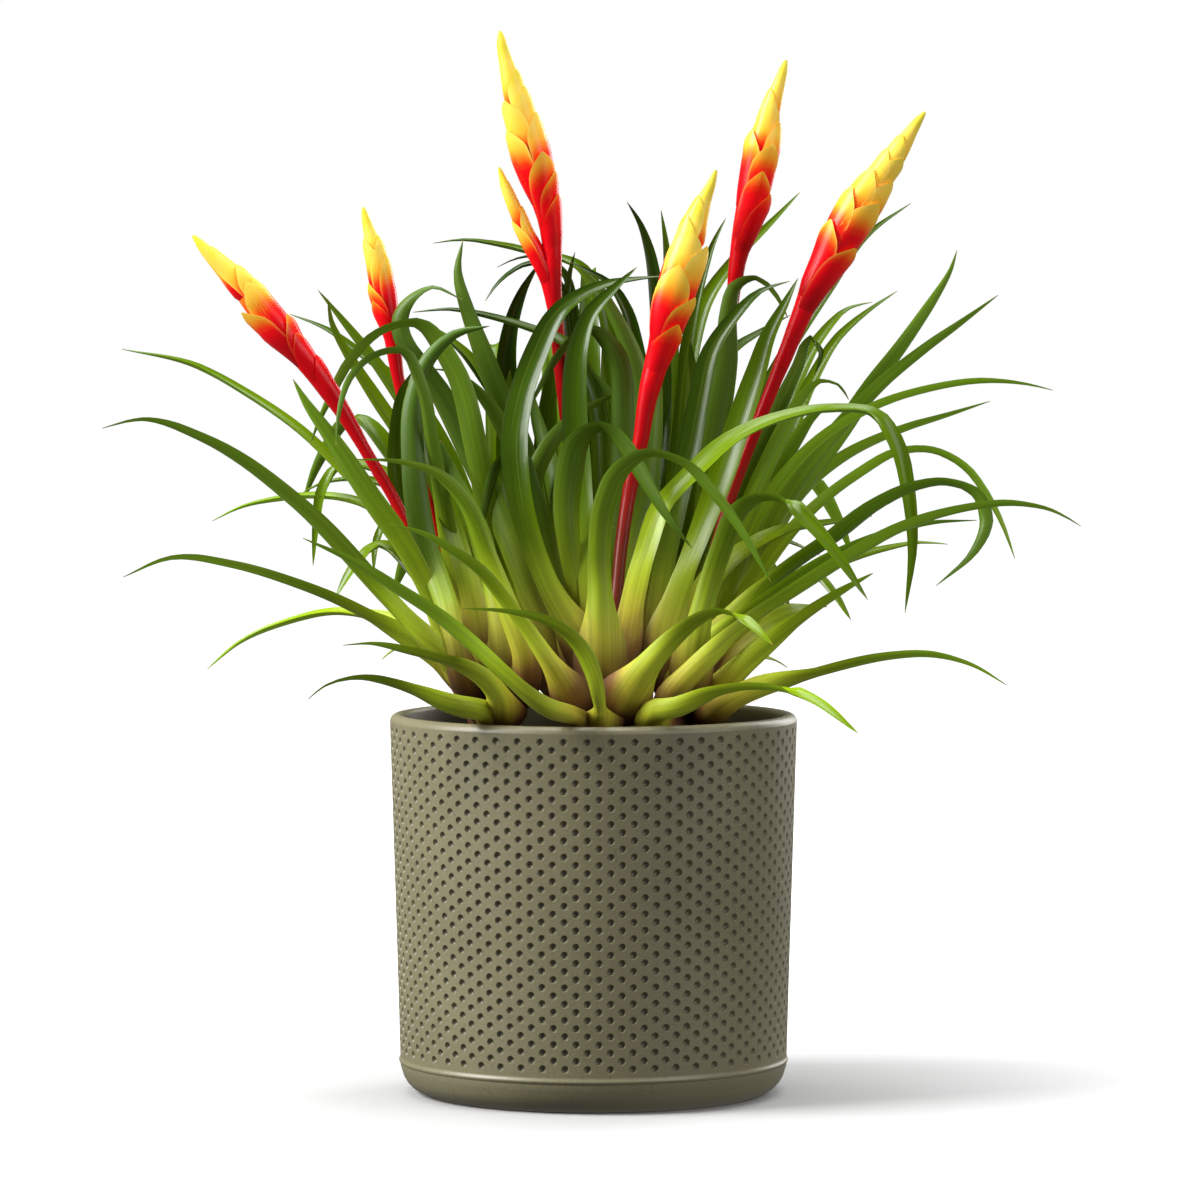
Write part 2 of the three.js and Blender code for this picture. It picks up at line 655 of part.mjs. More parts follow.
// Frame round a spike's line: along it, to its side and to its front.
function spikeFrame(run, lengths, distance) {
  const point = pointAlong(run, lengths, distance);
  const along = directionAlong(run, lengths, distance);
  const side = new THREE.Vector3(1, 0, 0).addScaledVector(along, -along.x).normalize();
  const front = along.clone().cross(side).normalize();
  return { point, along, side, front };
}

// A round rod along a run, with a radius for each distance.
function rod(run, distances, radiusAt, sides) {
  const lengths = lengthsAlong(run);
  const rings = distances.map((distance) => {
    const { point, side, front } = spikeFrame(run, lengths, distance);
    const radius = radiusAt(distance);
    const ring = [];
    for (let i = 0; i < sides; i += 1) {
      const angle = 2 * Math.PI * (i + 0.5) / sides;
      const corner = point.clone().addScaledVector(side, Math.cos(angle) * radius);
      ring.push(corner.addScaledVector(front, Math.sin(angle) * radius));
    }
    return ring;
  });
  return bodyFromRings(rings);
}

// One bract: rooted on the spike's middle, hugging it, with a keeled back and a free point.
function bract(one, run, foot, turn, long, wide) {
  const lengths = lengthsAlong(run);
  const whole = lengths[lengths.length - 1];
  const shape = [
    { share: 0, out: 0.4, breadth: 0.85 },
    { share: 0.55, out: 0.98, breadth: 1 },
    { share: 1, out: 1.04, breadth: 0.04 },
  ];
  const rings = shape.map(({ share, out, breadth }) => {
    const distance = Math.min(whole - 2, foot + long * share);
    const { point, along, side, front } = spikeFrame(run, lengths, distance);
    const outward = side.clone().multiplyScalar(Math.cos(turn)).addScaledVector(front, Math.sin(turn));
    const across = along.clone().cross(outward).normalize();
    const radius = spikeHalf(one, whole - distance);
    const half = Math.min(wide / 2, radius * 1.15) * breadth + 0.3;
    const keel = radius * out;
    const wrap = keel - half * 0.62;
    const at = (off, up) => point.clone().addScaledVector(across, off).addScaledVector(outward, up);
    return [at(-half, wrap), at(0, keel - 1.6), at(half, wrap), at(0, keel + 0.3)];
  });
  return bodyFromRings(rings);
}

// A flower spike: its bare scape, then the head's core with bracts set round it in a spiral.
function spikeParts(one, run, seed) {
  const lengths = lengthsAlong(run);
  const whole = lengths[lengths.length - 1];
  const neck = whole - one.head;
  const wanted = [0, 16, 45, 78, neck * 0.72, neck, whole - one.head * 0.7, whole - one.head * 0.35, whole];
  const distances = wanted.filter((distance, i) => (
    distance >= 0 && (i === 0 || distance > wanted[i - 1] + 4) && (distance < neck * 0.7 || i > 3)
  ));
  const coreRadius = (distance) => {
    const below = whole - distance;
    return Math.max(0.5, spikeHalf(one, below) * (below < one.head ? 0.78 : 1));
  };
  const parts = [rod(run, distances, coreRadius, 5)];
  const random = drawer(seed);
  const count = Math.round(one.head / bractSpacing);
  const spiral = 2.4;
  for (let i = 0; i < count; i += 1) {
    const share = i / count;
    const foot = Math.max(8, neck - 6 + (one.head - 18) * share);
    const turn = i * spiral + random() * 0.4 + seed;
    parts.push(bract(one, run, foot, turn, bractLength - 5 * share, bractWidth - 4 * share));
  }
  return parts;
}

// The room that a spike needs in a plant: its own outline, a little larger.
function spikeRoom(one, run) {
  const foot = run[0].clone();
  foot.z -= fitGap;
  const path = [foot].concat(run);
  const lengths = lengthsAlong(path);
  const whole = lengths[lengths.length - 1];
  const radius = (distance) => spikeHalf(one, whole - distance) * 1.04 + fitGap * 1.5;
  const neck = whole - one.head;
  const wanted = [0, 16, 45, 78, neck * 0.72, neck, neck + one.head * 0.3, whole];
  return rod(path, wanted.filter((distance, i) => i === 0 || distance > wanted[i - 1]), radius, 6);
}

// The bodies of one plant: its heart round the spike's foot, then its leaves.
function plantBodies(group, items, swell) {
  const plant = plants[group];
  const { run } = branches.find(({ one }) => one.plant === group);
  const foot = new THREE.Vector3(plant.x, plant.y, socketFloor + fitGap);
  const heart = [foot].concat(run);
  const lengths = lengthsAlong(heart);
  const high = lengths[heart.findIndex((point) => point.z > heartTop)];
  const radius = (distance) => heartRadius + (heartTopRadius - heartRadius) * distance / high + swell;
  const own = items.filter((item) => item.group === group);
  return [rod(heart, [0, 24, high], radius, 7)].concat(own.map((item) => leafBody(item, swell)));
}

// Cuts room into one body for others, where they would touch.
function makeRoom(body, others) {
  return others.reduce((rest, other) => (
    rest.intersect(other).volume() > 0 ? rest.subtract(other) : rest
  ), body);
}

// The six plants, each with room for the spikes and for the plants made before it.
function plantSolids(items) {
  const rooms = branches.map(({ one, run }) => spikeRoom(one, run));
  const made = [];
  plants.forEach((plant, group) => {
    let body = makeRoom(largest(joined(plantBodies(group, items, 0))), rooms);
    made.forEach((other, k) => {
      if (body.intersect(other).volume() > 0) {
        body = makeRoom(body, plantBodies(k, items, cutGap).concat([other]));
      }
    });
    made.push(largest(body));
  });
  return made;
}

// The six spikes; the tall one carries the side branch.
function spikeSolids() {
  return spikes.map((one, i) => {
    const parts = spikeParts(one, branches[i].run, i + 1);
    if (one.plant === sideBranch.plant) {
      parts.push(...spikeParts(sideBranch, branches[spikes.length].run, spikes.length + 1));
    }
    return largest(joined(parts));
  });
}

// A round body from rings of [radius, height, sink], each half a step on from the one before.
// Where a ring has a sink, every third point of its lattice is sunk, which makes a dimple.
function latticeBody(rings, count, lumpAt) {
  const positions = [];
  rings.forEach(([radius, z, sink], j) => {
    for (let i = 0; i < count; i += 1) {
      const sunk = sink && (i - Math.floor(j / 2) - j + 3 * count) % 3 === 0;
      const r = radius - (sunk ? sink : 0);
      const angle = 2 * Math.PI * (i + 0.5 * (j % 2)) / count;
      positions.push(r * Math.cos(angle), r * Math.sin(angle), z + lumpAt(j));
    }
  });
  const faces = [];
  for (let j = 0; j + 1 < rings.length; j += 1) {
    for (let i = 0; i < count; i += 1) {
      const next = (i + 1) % count;
      const a = j * count;
      const b = a + count;
      if (j % 2 === 0) faces.push(a + i, a + next, b + i, a + next, b + next, b + i);
      else faces.push(a + i, b + next, b + i, a + i, a + next, b + next);
    }
  }
  const first = positions.length / 3;
  const last = (rings.length - 1) * count;
  positions.push(0, 0, rings[0][1], 0, 0, rings[rings.length - 1][1]);
  for (let i = 0; i < count; i += 1) {
    const next = (i + 1) % count;
    faces.push(first, next, i, first + 1, last + i, last + next);
  }
  return solid(positions, faces);
}

// Outer radius of the pot's wall at a height; it widens a little towards the rim.
function wallRadius(z) {
  return potFootRadius + (potRimRadius - potFootRadius) * z / potHeight;
}

// The pot: rounded foot, plain band, fine bead, dimpled wall, rounded lip and plain inside.
function potBody() {
  const rings = [[potFootRadius - potFootRounding, 0]];
  [35, 65, 90].forEach((degrees) => {
    const angle = degrees * Math.PI / 180;
    const inset = potFootRounding * (1 - Math.sin(angle));
    rings.push([wallRadius(potFootRounding) - inset, potFootRounding * (1 - Math.cos(angle))]);
  });
  rings.push([wallRadius(footBandHeight) + footBeadHeight, footBandHeight]);
  const low = footBandHeight + 1.5;
  const high = potHeight - 4;
  for (let row = 0; row < dimpleRows; row += 1) {
    const z = low + (high - low) * row / (dimpleRows - 1);
    const dimpled = row > 0 && row < dimpleRows - 1;
    rings.push([wallRadius(z), z, dimpled ? dimpleDepth : 0]);
  }
  const lip = potWall / 2;
  [30, 90, 150].forEach((degrees) => {
    const angle = degrees * Math.PI / 180;
    rings.push([potRimRadius - lip + lip * Math.cos(angle), potHeight - lip * (1 - Math.sin(angle))]);
  });
  rings.push([wallRadius(potHeight - 5) - potWall, potHeight - 5]);
  rings.push([wallRadius(potFloor) - potWall, potFloor]);
  return latticeBody(rings, dimpleColumns, () => 0);
}

// Soil filling the pot, a little lumpy on top, with a plain round socket for each plant.
function soilBody() {
  const flat = Math.cos(Math.PI / dimpleColumns);
  const outer = (z) => (wallRadius(z) - potWall) * flat - fitGap;
  const shoulder = soilTop - 2;
  const rings = [
    [outer(potFloor + fitGap), potFloor + fitGap],
    [outer(shoulder), shoulder],
    [outer(soilTop) * 0.88, soilTop + 1],
    [outer(soilTop) * 0.5, soilTop + 1],
  ];
  const random = drawer(7);
  const lump = (j) => (j > 1 ? (random() - 0.6) * soilLump : 0);
  const sockets = plants.map((plant) => {
    const floor = new THREE.Vector3(plant.x, plant.y, socketFloor);
    const top = new THREE.Vector3(plant.x, plant.y, soilTop + 20);
    return rod([floor, top], [0, top.z - floor.z], () => heartRadius + fitGap + 0.4, 8);
  });
  return sockets.reduce((rest, socket) => rest.subtract(socket), latticeBody(rings, soilSides, lump));
}

const colours = { pot: 0x75725c, soil: 0x2e2118, leaf: 0x55801f, spike: 0xe8401e };
const part = new THREE.Group();
part.name = 'shannon_vriesea';
part.add(meshOf('pot', potBody(), colours.pot, 0.55));
part.add(meshOf('soil', soilBody(), colours.soil, 0.95));
plantSolids(allLeaves()).forEach((body, i) => {
  part.add(meshOf(`rosette_${plants[i].name}`, body, colours.leaf, 0.4));
});
spikeSolids().forEach((body, i) => part.add(meshOf(spikes[i].name, body, colours.spike, 0.4)));

export default part;
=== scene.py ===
# %% [markdown]
# # A potted bromeliad
# Six rosettes of strap leaves share one dimpled ceramic pot, and each carries a flower spike
# of waxy bracts that fade from red to yellow. The solid model gives the size and the rough
# form. This notebook dresses every one of its nodes with a finer piece of the same form.
# We load the solid model first.

# %% Load the frame
import bpy
import numpy as np
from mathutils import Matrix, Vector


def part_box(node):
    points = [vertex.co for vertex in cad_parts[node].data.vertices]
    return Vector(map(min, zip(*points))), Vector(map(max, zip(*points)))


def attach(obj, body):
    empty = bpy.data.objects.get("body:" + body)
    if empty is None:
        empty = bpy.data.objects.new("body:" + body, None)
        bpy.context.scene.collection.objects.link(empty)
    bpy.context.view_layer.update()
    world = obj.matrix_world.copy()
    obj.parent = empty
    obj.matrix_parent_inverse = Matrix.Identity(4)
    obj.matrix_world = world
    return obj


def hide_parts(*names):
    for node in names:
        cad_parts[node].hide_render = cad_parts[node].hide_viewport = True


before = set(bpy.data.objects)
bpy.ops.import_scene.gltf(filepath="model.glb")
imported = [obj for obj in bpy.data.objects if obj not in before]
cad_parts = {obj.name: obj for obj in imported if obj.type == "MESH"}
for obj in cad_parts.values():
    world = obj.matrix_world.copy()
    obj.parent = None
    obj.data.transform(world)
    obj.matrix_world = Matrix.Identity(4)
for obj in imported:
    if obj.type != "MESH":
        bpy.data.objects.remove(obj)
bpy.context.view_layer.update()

# %% [markdown]
# ## Working in millimetres, and the eye in front of the plant
# The leaves are drawn the way a botanist draws them: as lines seen from the front, on a
# picture 1200 points wide, each with a depth of its own. They could be placed by eye in the
# viewport, but then each would have to be checked from the front again. One eye, given by its
# distance, height, pitch and focus, turns a picture point and a depth into a place. The same
# eye becomes the camera at the end, so a line drawn here shows where it was drawn.

# %% The eye, and places seen by it
MM = 0.001
EYE_DISTANCE = 2400.0
EYE_HEIGHT = 313.0
EYE_SIDE = 2.55
EYE_PITCH = np.radians(2.85)
EYE_FOCUS = 6122.0
PICTURE = 1200.0
PIXEL = 0.392


def place(px, py, depth):
    """Places, in mm, seen at picture points at given depths behind the pot's axis."""
    u = px - PICTURE / 2
    v = py - PICTURE / 2
    t = (EYE_DISTANCE + depth) / (EYE_FOCUS * np.cos(EYE_PITCH) - v * np.sin(EYE_PITCH))
    drop = t * (EYE_FOCUS * np.sin(EYE_PITCH) + v * np.cos(EYE_PITCH))
    return np.stack([EYE_SIDE + u * t, depth + 0 * t, EYE_HEIGHT - drop], axis=-1)


def picture_point(points):
    """Picture points where places are seen."""
    forward = EYE_DISTANCE + points[..., 1]
    down = EYE_HEIGHT - points[..., 2]
    along = forward * np.cos(EYE_PITCH) + down * np.sin(EYE_PITCH)
    below = down * np.cos(EYE_PITCH) - forward * np.sin(EYE_PITCH)
    px = PICTURE / 2 + EYE_FOCUS * (points[..., 0] - EYE_SIDE) / along
    return np.stack([px, PICTURE / 2 + EYE_FOCUS * below / along], axis=-1)


print("the foot of the pot's axis is seen at", picture_point(np.zeros(3)).round(1))

# %% [markdown]
# ## Smooth lines
# A leaf or a scape needs few given points if a smooth curve runs through them. A curve
# object could do this, but its section is the same all along, and here width, thickness and
# twist each change on their own. So the curve is worked out here, as a Hermite curve: each
# point gets a slope from its neighbours, and short steps between follow a cubic. Profiles,
# such as a leaf's width, are read from a few knots and softened, so that a swollen base has
# no corners.

# %% Curves and profiles
def smooth_run(points, step):
    """Points about one step apart on a smooth curve through given points."""
    points = np.asarray(points, float)
    gaps = np.linalg.norm(np.diff(points, axis=0), axis=1)
    rates = np.diff(points, axis=0) / gaps[:, None]
    slopes = np.empty_like(points)
    slopes[0] = rates[0]
    slopes[-1] = rates[-1]
    share = (gaps[1:] / (gaps[1:] + gaps[:-1]))[:, None]
    slopes[1:-1] = rates[:-1] * share + rates[1:] * (1 - share)
    run = []
    for i, gap in enumerate(gaps):
        count = max(1, int(gap / step + 0.5))
        f = (np.arange(count) / count)[:, None]
        run.append(
            points[i] * (2 * f**3 - 3 * f**2 + 1)
            + slopes[i] * gap * (f**3 - 2 * f**2 + f)
            + points[i + 1] * (3 * f**2 - 2 * f**3)
            + slopes[i + 1] * gap * (f**3 - f**2)
        )
    return np.vstack(run + [points[-1:]])


def lengths_along(run):
    return np.concatenate([[0], np.cumsum(np.linalg.norm(np.diff(run, axis=0), axis=1))])


def read_along(run, lengths, where):
    return np.stack([np.interp(where, lengths, run[:, k]) for k in range(3)], axis=-1)


def unit(vectors):
    return vectors / np.maximum(np.linalg.norm(vectors, axis=-1, keepdims=True), 1e-9)


def direction_along(run, lengths, where, reach=3.0):
    last = lengths[-1]
    before = read_along(run, lengths, np.clip(where - reach, 0, last))
    return unit(read_along(run, lengths, np.clip(where + reach, 0, last)) - before)


def knots_at(knots, where):
    knots = np.asarray(knots, float)
    return np.interp(where, knots[:, 0], knots[:, 1])


def softened(knots, where, blur=3.0):
    """A profile read off knots, with its corners rounded."""
    spread = (-2, -1, 0, 1, 2)
    return sum(knots_at(knots, where + k * blur) for k in spread) / len(spread)


corner = [(0, 0, 0), (50, 0, 0), (50, 0, 50)]
print("a right-angled line smoothed to", len(smooth_run(corner, 5)), "points")

# %% [markdown]
# ## The six plants and their leaves
# Each rosette stands at its own place in the pot. Leaves could be scattered at random round
# each heart, but a plant is known by its own leaves, so every one that shows is drawn. A leaf
# is written as its blade's width, its depth at root and tip, and its line as seen from the
# front. Depth is negative towards the viewer. Up to three numbers may follow: how wide its
# base swells, how wide its neck is, and how tall the swelling is, where 1 is as usual.

# %% Places of the plants
PLANTS = {
    "front_left": (-40, -22),
    "front_centre": (2, -40),
    "front_right": (40, -16),
    "back_left": (-36, 28),
    "back_centre": (-2, 12),
    "back_right": (32, 32),
}
BASE_WIDTH = 13
print(len(PLANTS), "plants share the pot")

# %% [markdown]
# Leaves were traced plant by plant, the nearest and clearest first. A line starts where the
# leaf comes into sight above the pot or between its neighbours, and it has only the points
# that its bends need. Those in the middle hide each other, so their lower parts are guessed.

# %% Leaves seen from the front
LEAVES = {
    "front_left": [
        (9.5, -32, -95, "468,672 430,642 385,597 300,508 200,439 140,420 102,428", 17),
        (11, -30, -55, "458,672 438,612 412,560 370,500 325,432 305,402 293,379"),
        (8, -28, -70, "466,680 432,652 380,622 300,587 230,566 170,559 123,577"),
        (7, -8, 40, "462,676 430,640 390,620 335,613 285,624 240,643 207,669"),
        (7.5, -48, -110, "503,702 490,682 468,668 440,660 410,653 370,644 343,645", 21, 8, 0.7),
        (7, -46, -90, "490,730 470,716 430,697 390,684 350,679 325,686 308,699"),
        (10, -38, -30, "458,660 447,605 424,540 413,460 414,400 427,361 455,334 490,326"),
        (9, -20, -10, "462,655 440,600 412,550 398,490 396,430 402,390 412,372"),
        (10, -30, -15, "484,655 476,610 460,555 440,490 425,445 418,400 416,360", 18),
        (6, -14, -55, "475,650 452,560 432,450 418,380 402,352 378,355 352,378 340,410 336,445", 12),
        (7, -42, -80, "530,672 516,630 500,590 482,545 465,505 440,478 400,463 357,459"),
        (10, -36, -30, "508,668 500,620 490,575 478,535 462,500 448,465 440,440", 18),
        (9, -5, 5, "495,640 480,570 462,510 440,462 426,428 418,400", 12),
    ],
    "front_centre": [
        (11, -24, 0, "583,640 560,608 536,555 519,490 515,440 521,400 "
         "536,355 560,312 600,288 640,279 668,276", 18),
        (9.5, -48, -75, "602,668 601,610 600,550 606,505 620,474 650,455 "
         "682,464 712,495 742,535 771,582", 23, 9.4),
        (9, -54, -105, "627,694 645,668 668,643 705,617 722,612 745,621 773,645", 22, 8.5, 0.85),
        (7, -60, -110, "601,726 600,712 598,692 590,662 575,640 550,624 510,613 463,608", 20, 4.5, 0.36),
        (6.5, -54, -95, "570,692 555,670 541,651 528,630 505,602 480,573 450,551 420,533 "
         "388,524", 17, 6.5, 0.8),
        (8.5, -62, -100, "572,730 548,712 525,693 500,672 470,645 435,616 395,590 355,564 303,538",
         9, 8),
        (11, -20, -12, "595,650 592,600 585,540 579,480 576,430 575,385 579,345 592,312 612,291 637,267"),
        (12, -8, -50, "590,640 572,560 570,480 582,440 602,428 622,447 645,485 668,520 692,548"),
        (10.5, -38, -20, "626,650 632,600 645,555 662,508 690,478 730,442 785,418 "
         "840,410 872,414 895,445 907,495 911,545 905,613"),
    ],
    "front_right": [
        (12, -25, -10, "662,650 672,610 692,555 712,505 730,455 745,410 "
         "757,375 770,335 785,305 798,278", 18),
        (10, -8, 5, "655,640 662,580 678,500 690,450 700,400 712,352 735,318 762,291 790,281"),
        (9, -38, -80, "692,655 705,600 722,550 740,512 762,499 785,502 805,520 830,548 868,600", 18),
        (9.5, -42, -60, "665,700 700,665 740,628 790,596 850,558 900,530 "
         "960,511 1020,505 1055,512 1081,526"),
        (8.5, -30, -40, "672,690 700,652 735,622 780,592 830,560 880,538 930,524 977,520"),
        (10, -25, -50, "690,665 730,620 780,575 830,542 880,505 920,487 "
         "950,484 975,495 985,520 973,550 936,586"),
        (6, -12, 5, "700,665 745,620 790,590 840,565 890,549 920,543 948,544", 12),
        (7.5, -30, -45, "712,698 745,662 785,630 825,603 850,587 873,573"),
        (9, -36, -75, "712,712 745,690 790,680 840,668 890,658 930,656 970,665 1007,685"),
        (8, -56, -115, "650,728 680,708 715,693 750,688 785,691 815,702 858,733", 18),
        (6.5, -5, 20, "715,660 735,640 760,625 785,612 827,606", 12),
        (10, -12, 15, "686,640 702,585 740,553 780,533 820,525 872,516"),
        (8.5, 6, 14, "690,630 715,570 745,548 780,541 820,555", 12),
    ],
    "back_right": [
        (11, 8, 25, "705,640 745,570 790,505 840,437 875,385 905,345 935,300 952,268 957,250"),
        (10, 12, 10, "712,640 755,560 800,480 845,425 880,388 920,355 960,325 998,295"),
        (7, 8, 0, "708,640 740,560 780,485 825,438 875,408 930,390 985,382 1030,385 1053,390", 12),
        (9.5, 14, 20, "715,645 755,570 800,495 850,455 900,432 945,417 990,401"),
        (6.5, 8, -8, "720,640 770,560 820,505 860,475 900,453 930,451 "
         "960,465 985,495 1002,525 1015,559", 12),
        (9.5, 20, 40, "700,620 735,530 770,450 800,375 825,333 850,308 872,302"),
        (7.5, 14, 35, "708,620 745,540 785,450 815,378 840,338 868,312 897,291"),
        (8.5, 10, 0, "700,600 740,500 775,420 800,365 811,338 821,352 814,375", 12),
        (8.5, 4, 0, "704,620 745,520 778,445 800,403 820,382 838,385 849,400", 12),
        (10, 12, 20, "710,620 740,560 770,490 795,445 820,412 850,403"),
        (11, 20, 10, "690,620 705,520 718,430 728,360 730,310 735,290 755,279 775,295 788,318"),
        (10, 26, 40, "685,600 695,480 708,390 730,355 765,330 790,315"),
        (8.5, 35, 60, "680,600 685,450 692,350 705,305 735,262 770,225 800,192"),
        (7.5, 28, 50, "700,600 740,450 790,350 830,290 870,234 911,203"),
        (7.5, 30, 45, "672,600 678,450 690,340 705,270 715,240 726,218", 12),
    ],
    "back_centre": [
        (11.5, 2, 8, "568,650 545,560 520,450 495,390 478,345 464,305 457,270 463,240"),
        (8.5, 14, 12, "590,640 600,500 590,390 565,345 530,330 490,318 450,310 413,312", 12),
        (8.5, 30, 35, "600,640 615,480 612,360 600,300 575,265 540,256 500,246 460,240 433,243"),
        (9.5, 28, 20, "585,640 580,480 570,350 555,285 535,264 512,272 495,287 485,301"),
        (6.5, 34, 40, "586,600 580,500 575,330 560,270 535,257 515,259 497,267", 12),
        (11, 22, 30, "545,620 520,480 505,380 510,325 525,285 540,262"),
        (8, 22, 28, "590,620 578,480 568,380 565,310 569,275 575,252", 12),
        (10, 14, 5, "620,620 643,480 643,400 630,350 612,312 595,283 578,266"),
        (8.5, 26, 20, "625,600 640,450 636,350 625,308 610,285 590,272 570,262", 12),
        (11, 10, 30, "600,640 608,520 612,430 607,365 603,334"),
        (9.5, 20, 28, "625,620 655,480 662,380 658,300 650,250 640,222 627,202"),
        (8.5, 26, 34, "630,600 660,450 672,340 670,280 666,240 661,210", 12),
        (8.5, 5, 0, "566,650 548,560 532,490 548,450 572,421 600,402 622,392"),
        (7.5, 6, 15, "630,600 638,480 632,440 615,405 598,383 575,358 560,345", 12),
        (8.5, -8, -12, "570,640 548,560 530,490 515,455 500,465 490,490 481,533", 12),
        (10, 8, -12, "612,640 618,520 622,420 612,350 590,331 565,350 545,380 527,412"),
        (9.5, 12, 0, "565,640 538,540 512,450 490,410 468,384 448,371 430,369"),
        (6, 20, 25, "550,600 530,540 510,450 490,390 470,358 442,334 416,319", 12),
        (7.5, 24, 30, "555,610 515,480 500,410 480,378 460,352 440,335", 12),
        (12.5, 0, 5, "560,655 530,600 508,545 488,495 465,445 440,397 415,362 "
         "401,340 399,315 410,297 432,286 462,300"),
        (10.5, -6, 8, "588,655 584,610 570,548 555,492 545,455 536,420 530,385"),
        (10, 0, 12, "612,640 624,590 636,548 648,505 655,450 658,410 660,370"),
        (12, 16, 26, "530,650 522,590 514,530 508,470 506,420 510,370"),
        (11, 18, 30, "560,640 556,580 548,520 545,460 548,400 556,350"),
        (12, 14, 24, "648,650 652,590 652,530 648,470 650,420 656,370"),
        (11, 20, 34, "665,640 676,570 684,500 690,440 694,390 690,340"),
    ],
    "back_left": [
        (6, 14, 30, "480,655 435,575 392,520 345,475 300,432 250,397 190,365 122,349", 12),
        (7, 20, 70, "480,660 440,580 400,528 360,504 320,497 280,500 240,508 212,521", 12),
        (6.5, 30, 75, "480,660 445,560 410,500 375,483 345,480 318,485 297,496", 12),
        (8, 26, 60, "480,655 445,560 405,490 365,467 340,467 325,487 317,525 313,566"),
        (7.5, 36, 62, "485,660 455,590 425,530 402,512 384,526 375,550 374,573"),
        (8, 28, 60, "488,640 465,540 430,450 390,385 355,338 318,290"),
        (8, 22, 45, "484,645 455,550 415,460 375,400 345,352 331,322 328,299"),
        (7, 36, 75, "492,650 478,550 445,450 405,390 360,355 325,329 290,314"),
        (10, 6, -10, "495,645 490,560 475,450 450,365 415,325 385,331 352,362 333,395 318,425 310,444"),
    ],
}
print(sum(map(len, LEAVES.values())), "leaves are drawn")

# %% [markdown]
# The far side of the plant can't be drawn from the front. Its leaves could be copies of the
# drawn ones, but from the side a copy shows as one. Each gets a heading, a reach, a height
# and a droop of its own instead. A heading of 90 points straight back.

# %% Leaves of the far side, by heading, reach, height, droop and width
HIDDEN_LEAVES = {
    "back_left": [
        (150, 95, 120, 40, 10),
        (118, 100, 70, 30, 11),
        (95, 80, 150, 20, 10),
        (132, 75, 30, 8, 10),
        (165, 70, 70, 25, 9),
    ],
    "back_centre": [
        (100, 110, 150, 45, 11),
        (78, 95, 95, 35, 10),
        (90, 70, 180, 10, 11),
    ],
    "back_right": [
        (35, 90, 95, 40, 10),
        (62, 105, 60, 25, 11),
        (80, 85, 135, 25, 10),
        (48, 70, 25, 6, 10),
        (18, 75, 60, 25, 9),
    ],
}
print(sum(map(len, HIDDEN_LEAVES.values())), "more stand on the far side")

# %% [markdown]
# ## The flower spikes
# A spike is a scape, which is the stalk, with a head of bracts. Its outline is what the eye
# follows, so it is measured rather than left to a formula. A row gives the plant it rises
# from, its depth, the head's length, its width at distances below the tip, and its line from
# foot to tip. The tall spike carries a small side branch.

# %% Spikes
SPIKES = {
    "spike_left": ("front_left", -20, 80,
        "0,1.2 4,3.4 9,5.5 16,7.9 25,11.2 35,14.1 50,14.6 60,11 75,8.8 90,6.6 105,5.2",
        "440,590 417,546 393,497 367,453 345,415 320,378 294,348 261,310 228,272 206,250 "
        "193,235"),
    "spike_back_left": ("back_left", 25, 56,
        "0,1.2 4,2.8 9,4.6 16,8 25,9.9 35,11.2 44,10.4 55,6.4 70,5",
        "455,600 437,530 425,480 415,444 405,407 397,372 392,335 386,307 381,281 376,257 "
        "371,237 366,220 363,207"),
    "spike_tall": ("back_centre", 15, 94,
        "0,1.4 4,3.5 12,6 20,8.6 30,12.3 40,14.8 50,17.4 60,15.8 70,12.4 80,10 92,7.4 105,6",
        "584,640 572,480 558,340 555,300 553,270 552,243 549,220 543,198 534,165 526,135 "
        "518,107 511,81 506,62 502,45 500,31"),
    "spike_centre": ("front_centre", -18, 88,
        "0,1.2 4,2.8 12,5.8 20,9.8 30,14 38,17.2 50,18.2 60,17 70,13.3 80,10 92,7.6 110,6.4",
        "617,590 622,540 630,489 641,439 647,401 656,365 663,340 668,314 675,291 683,267 "
        "691,242 697,218 705,198 712,182 716,170"),
    "spike_back_right": ("back_right", 30, 88,
        "0,1.2 4,3.3 12,5.8 20,8.4 27,10.6 35,15 47,14.8 60,14.8 70,12 80,7.6 92,5.6",
        "680,640 705,480 720,385 727,334 733,296 738,259 744,233 750,209 755,183 760,159 "
        "766,133 771,109 777,90 782,74 786,60"),
    "spike_right": ("front_right", -5, 112,
        "0,1.2 4,3.2 12,6.3 20,9.2 30,11.5 40,16.3 50,18 65,16.6 80,13.4 92,9.6 105,7 120,5.6",
        "712,560 728,505 742,465 766,403 785,356 799,321 815,285 828,263 840,240 853,218 "
        "867,197 881,175 896,155 907,138 918,121 925,112"),
}
SIDE_BRANCH = ("back_centre", 15, 58,
    "0,1 4,2.4 9,4.7 16,5.8 25,6.8 35,8 45,7.4 58,6",
    "557,320 552,296 544,270 535,251 527,236 519,218 511,199 504,182 499,167")
print(len(SPIKES), "spikes, one with a side branch")

# %% [markdown]
# ## How a leaf is shaped
# A leaf starts as a swollen sheath round the plant's heart, narrows to a neck and opens into
# a long blade that tapers to a point. One leaf could be modelled and bent again and again,
# but many of these swell and narrow in their own way. So width, thickness and the rise of
# the edges are profiles along each leaf's own length. The edges rise, so that the blade makes
# a shallow trough that leads rain to the heart.

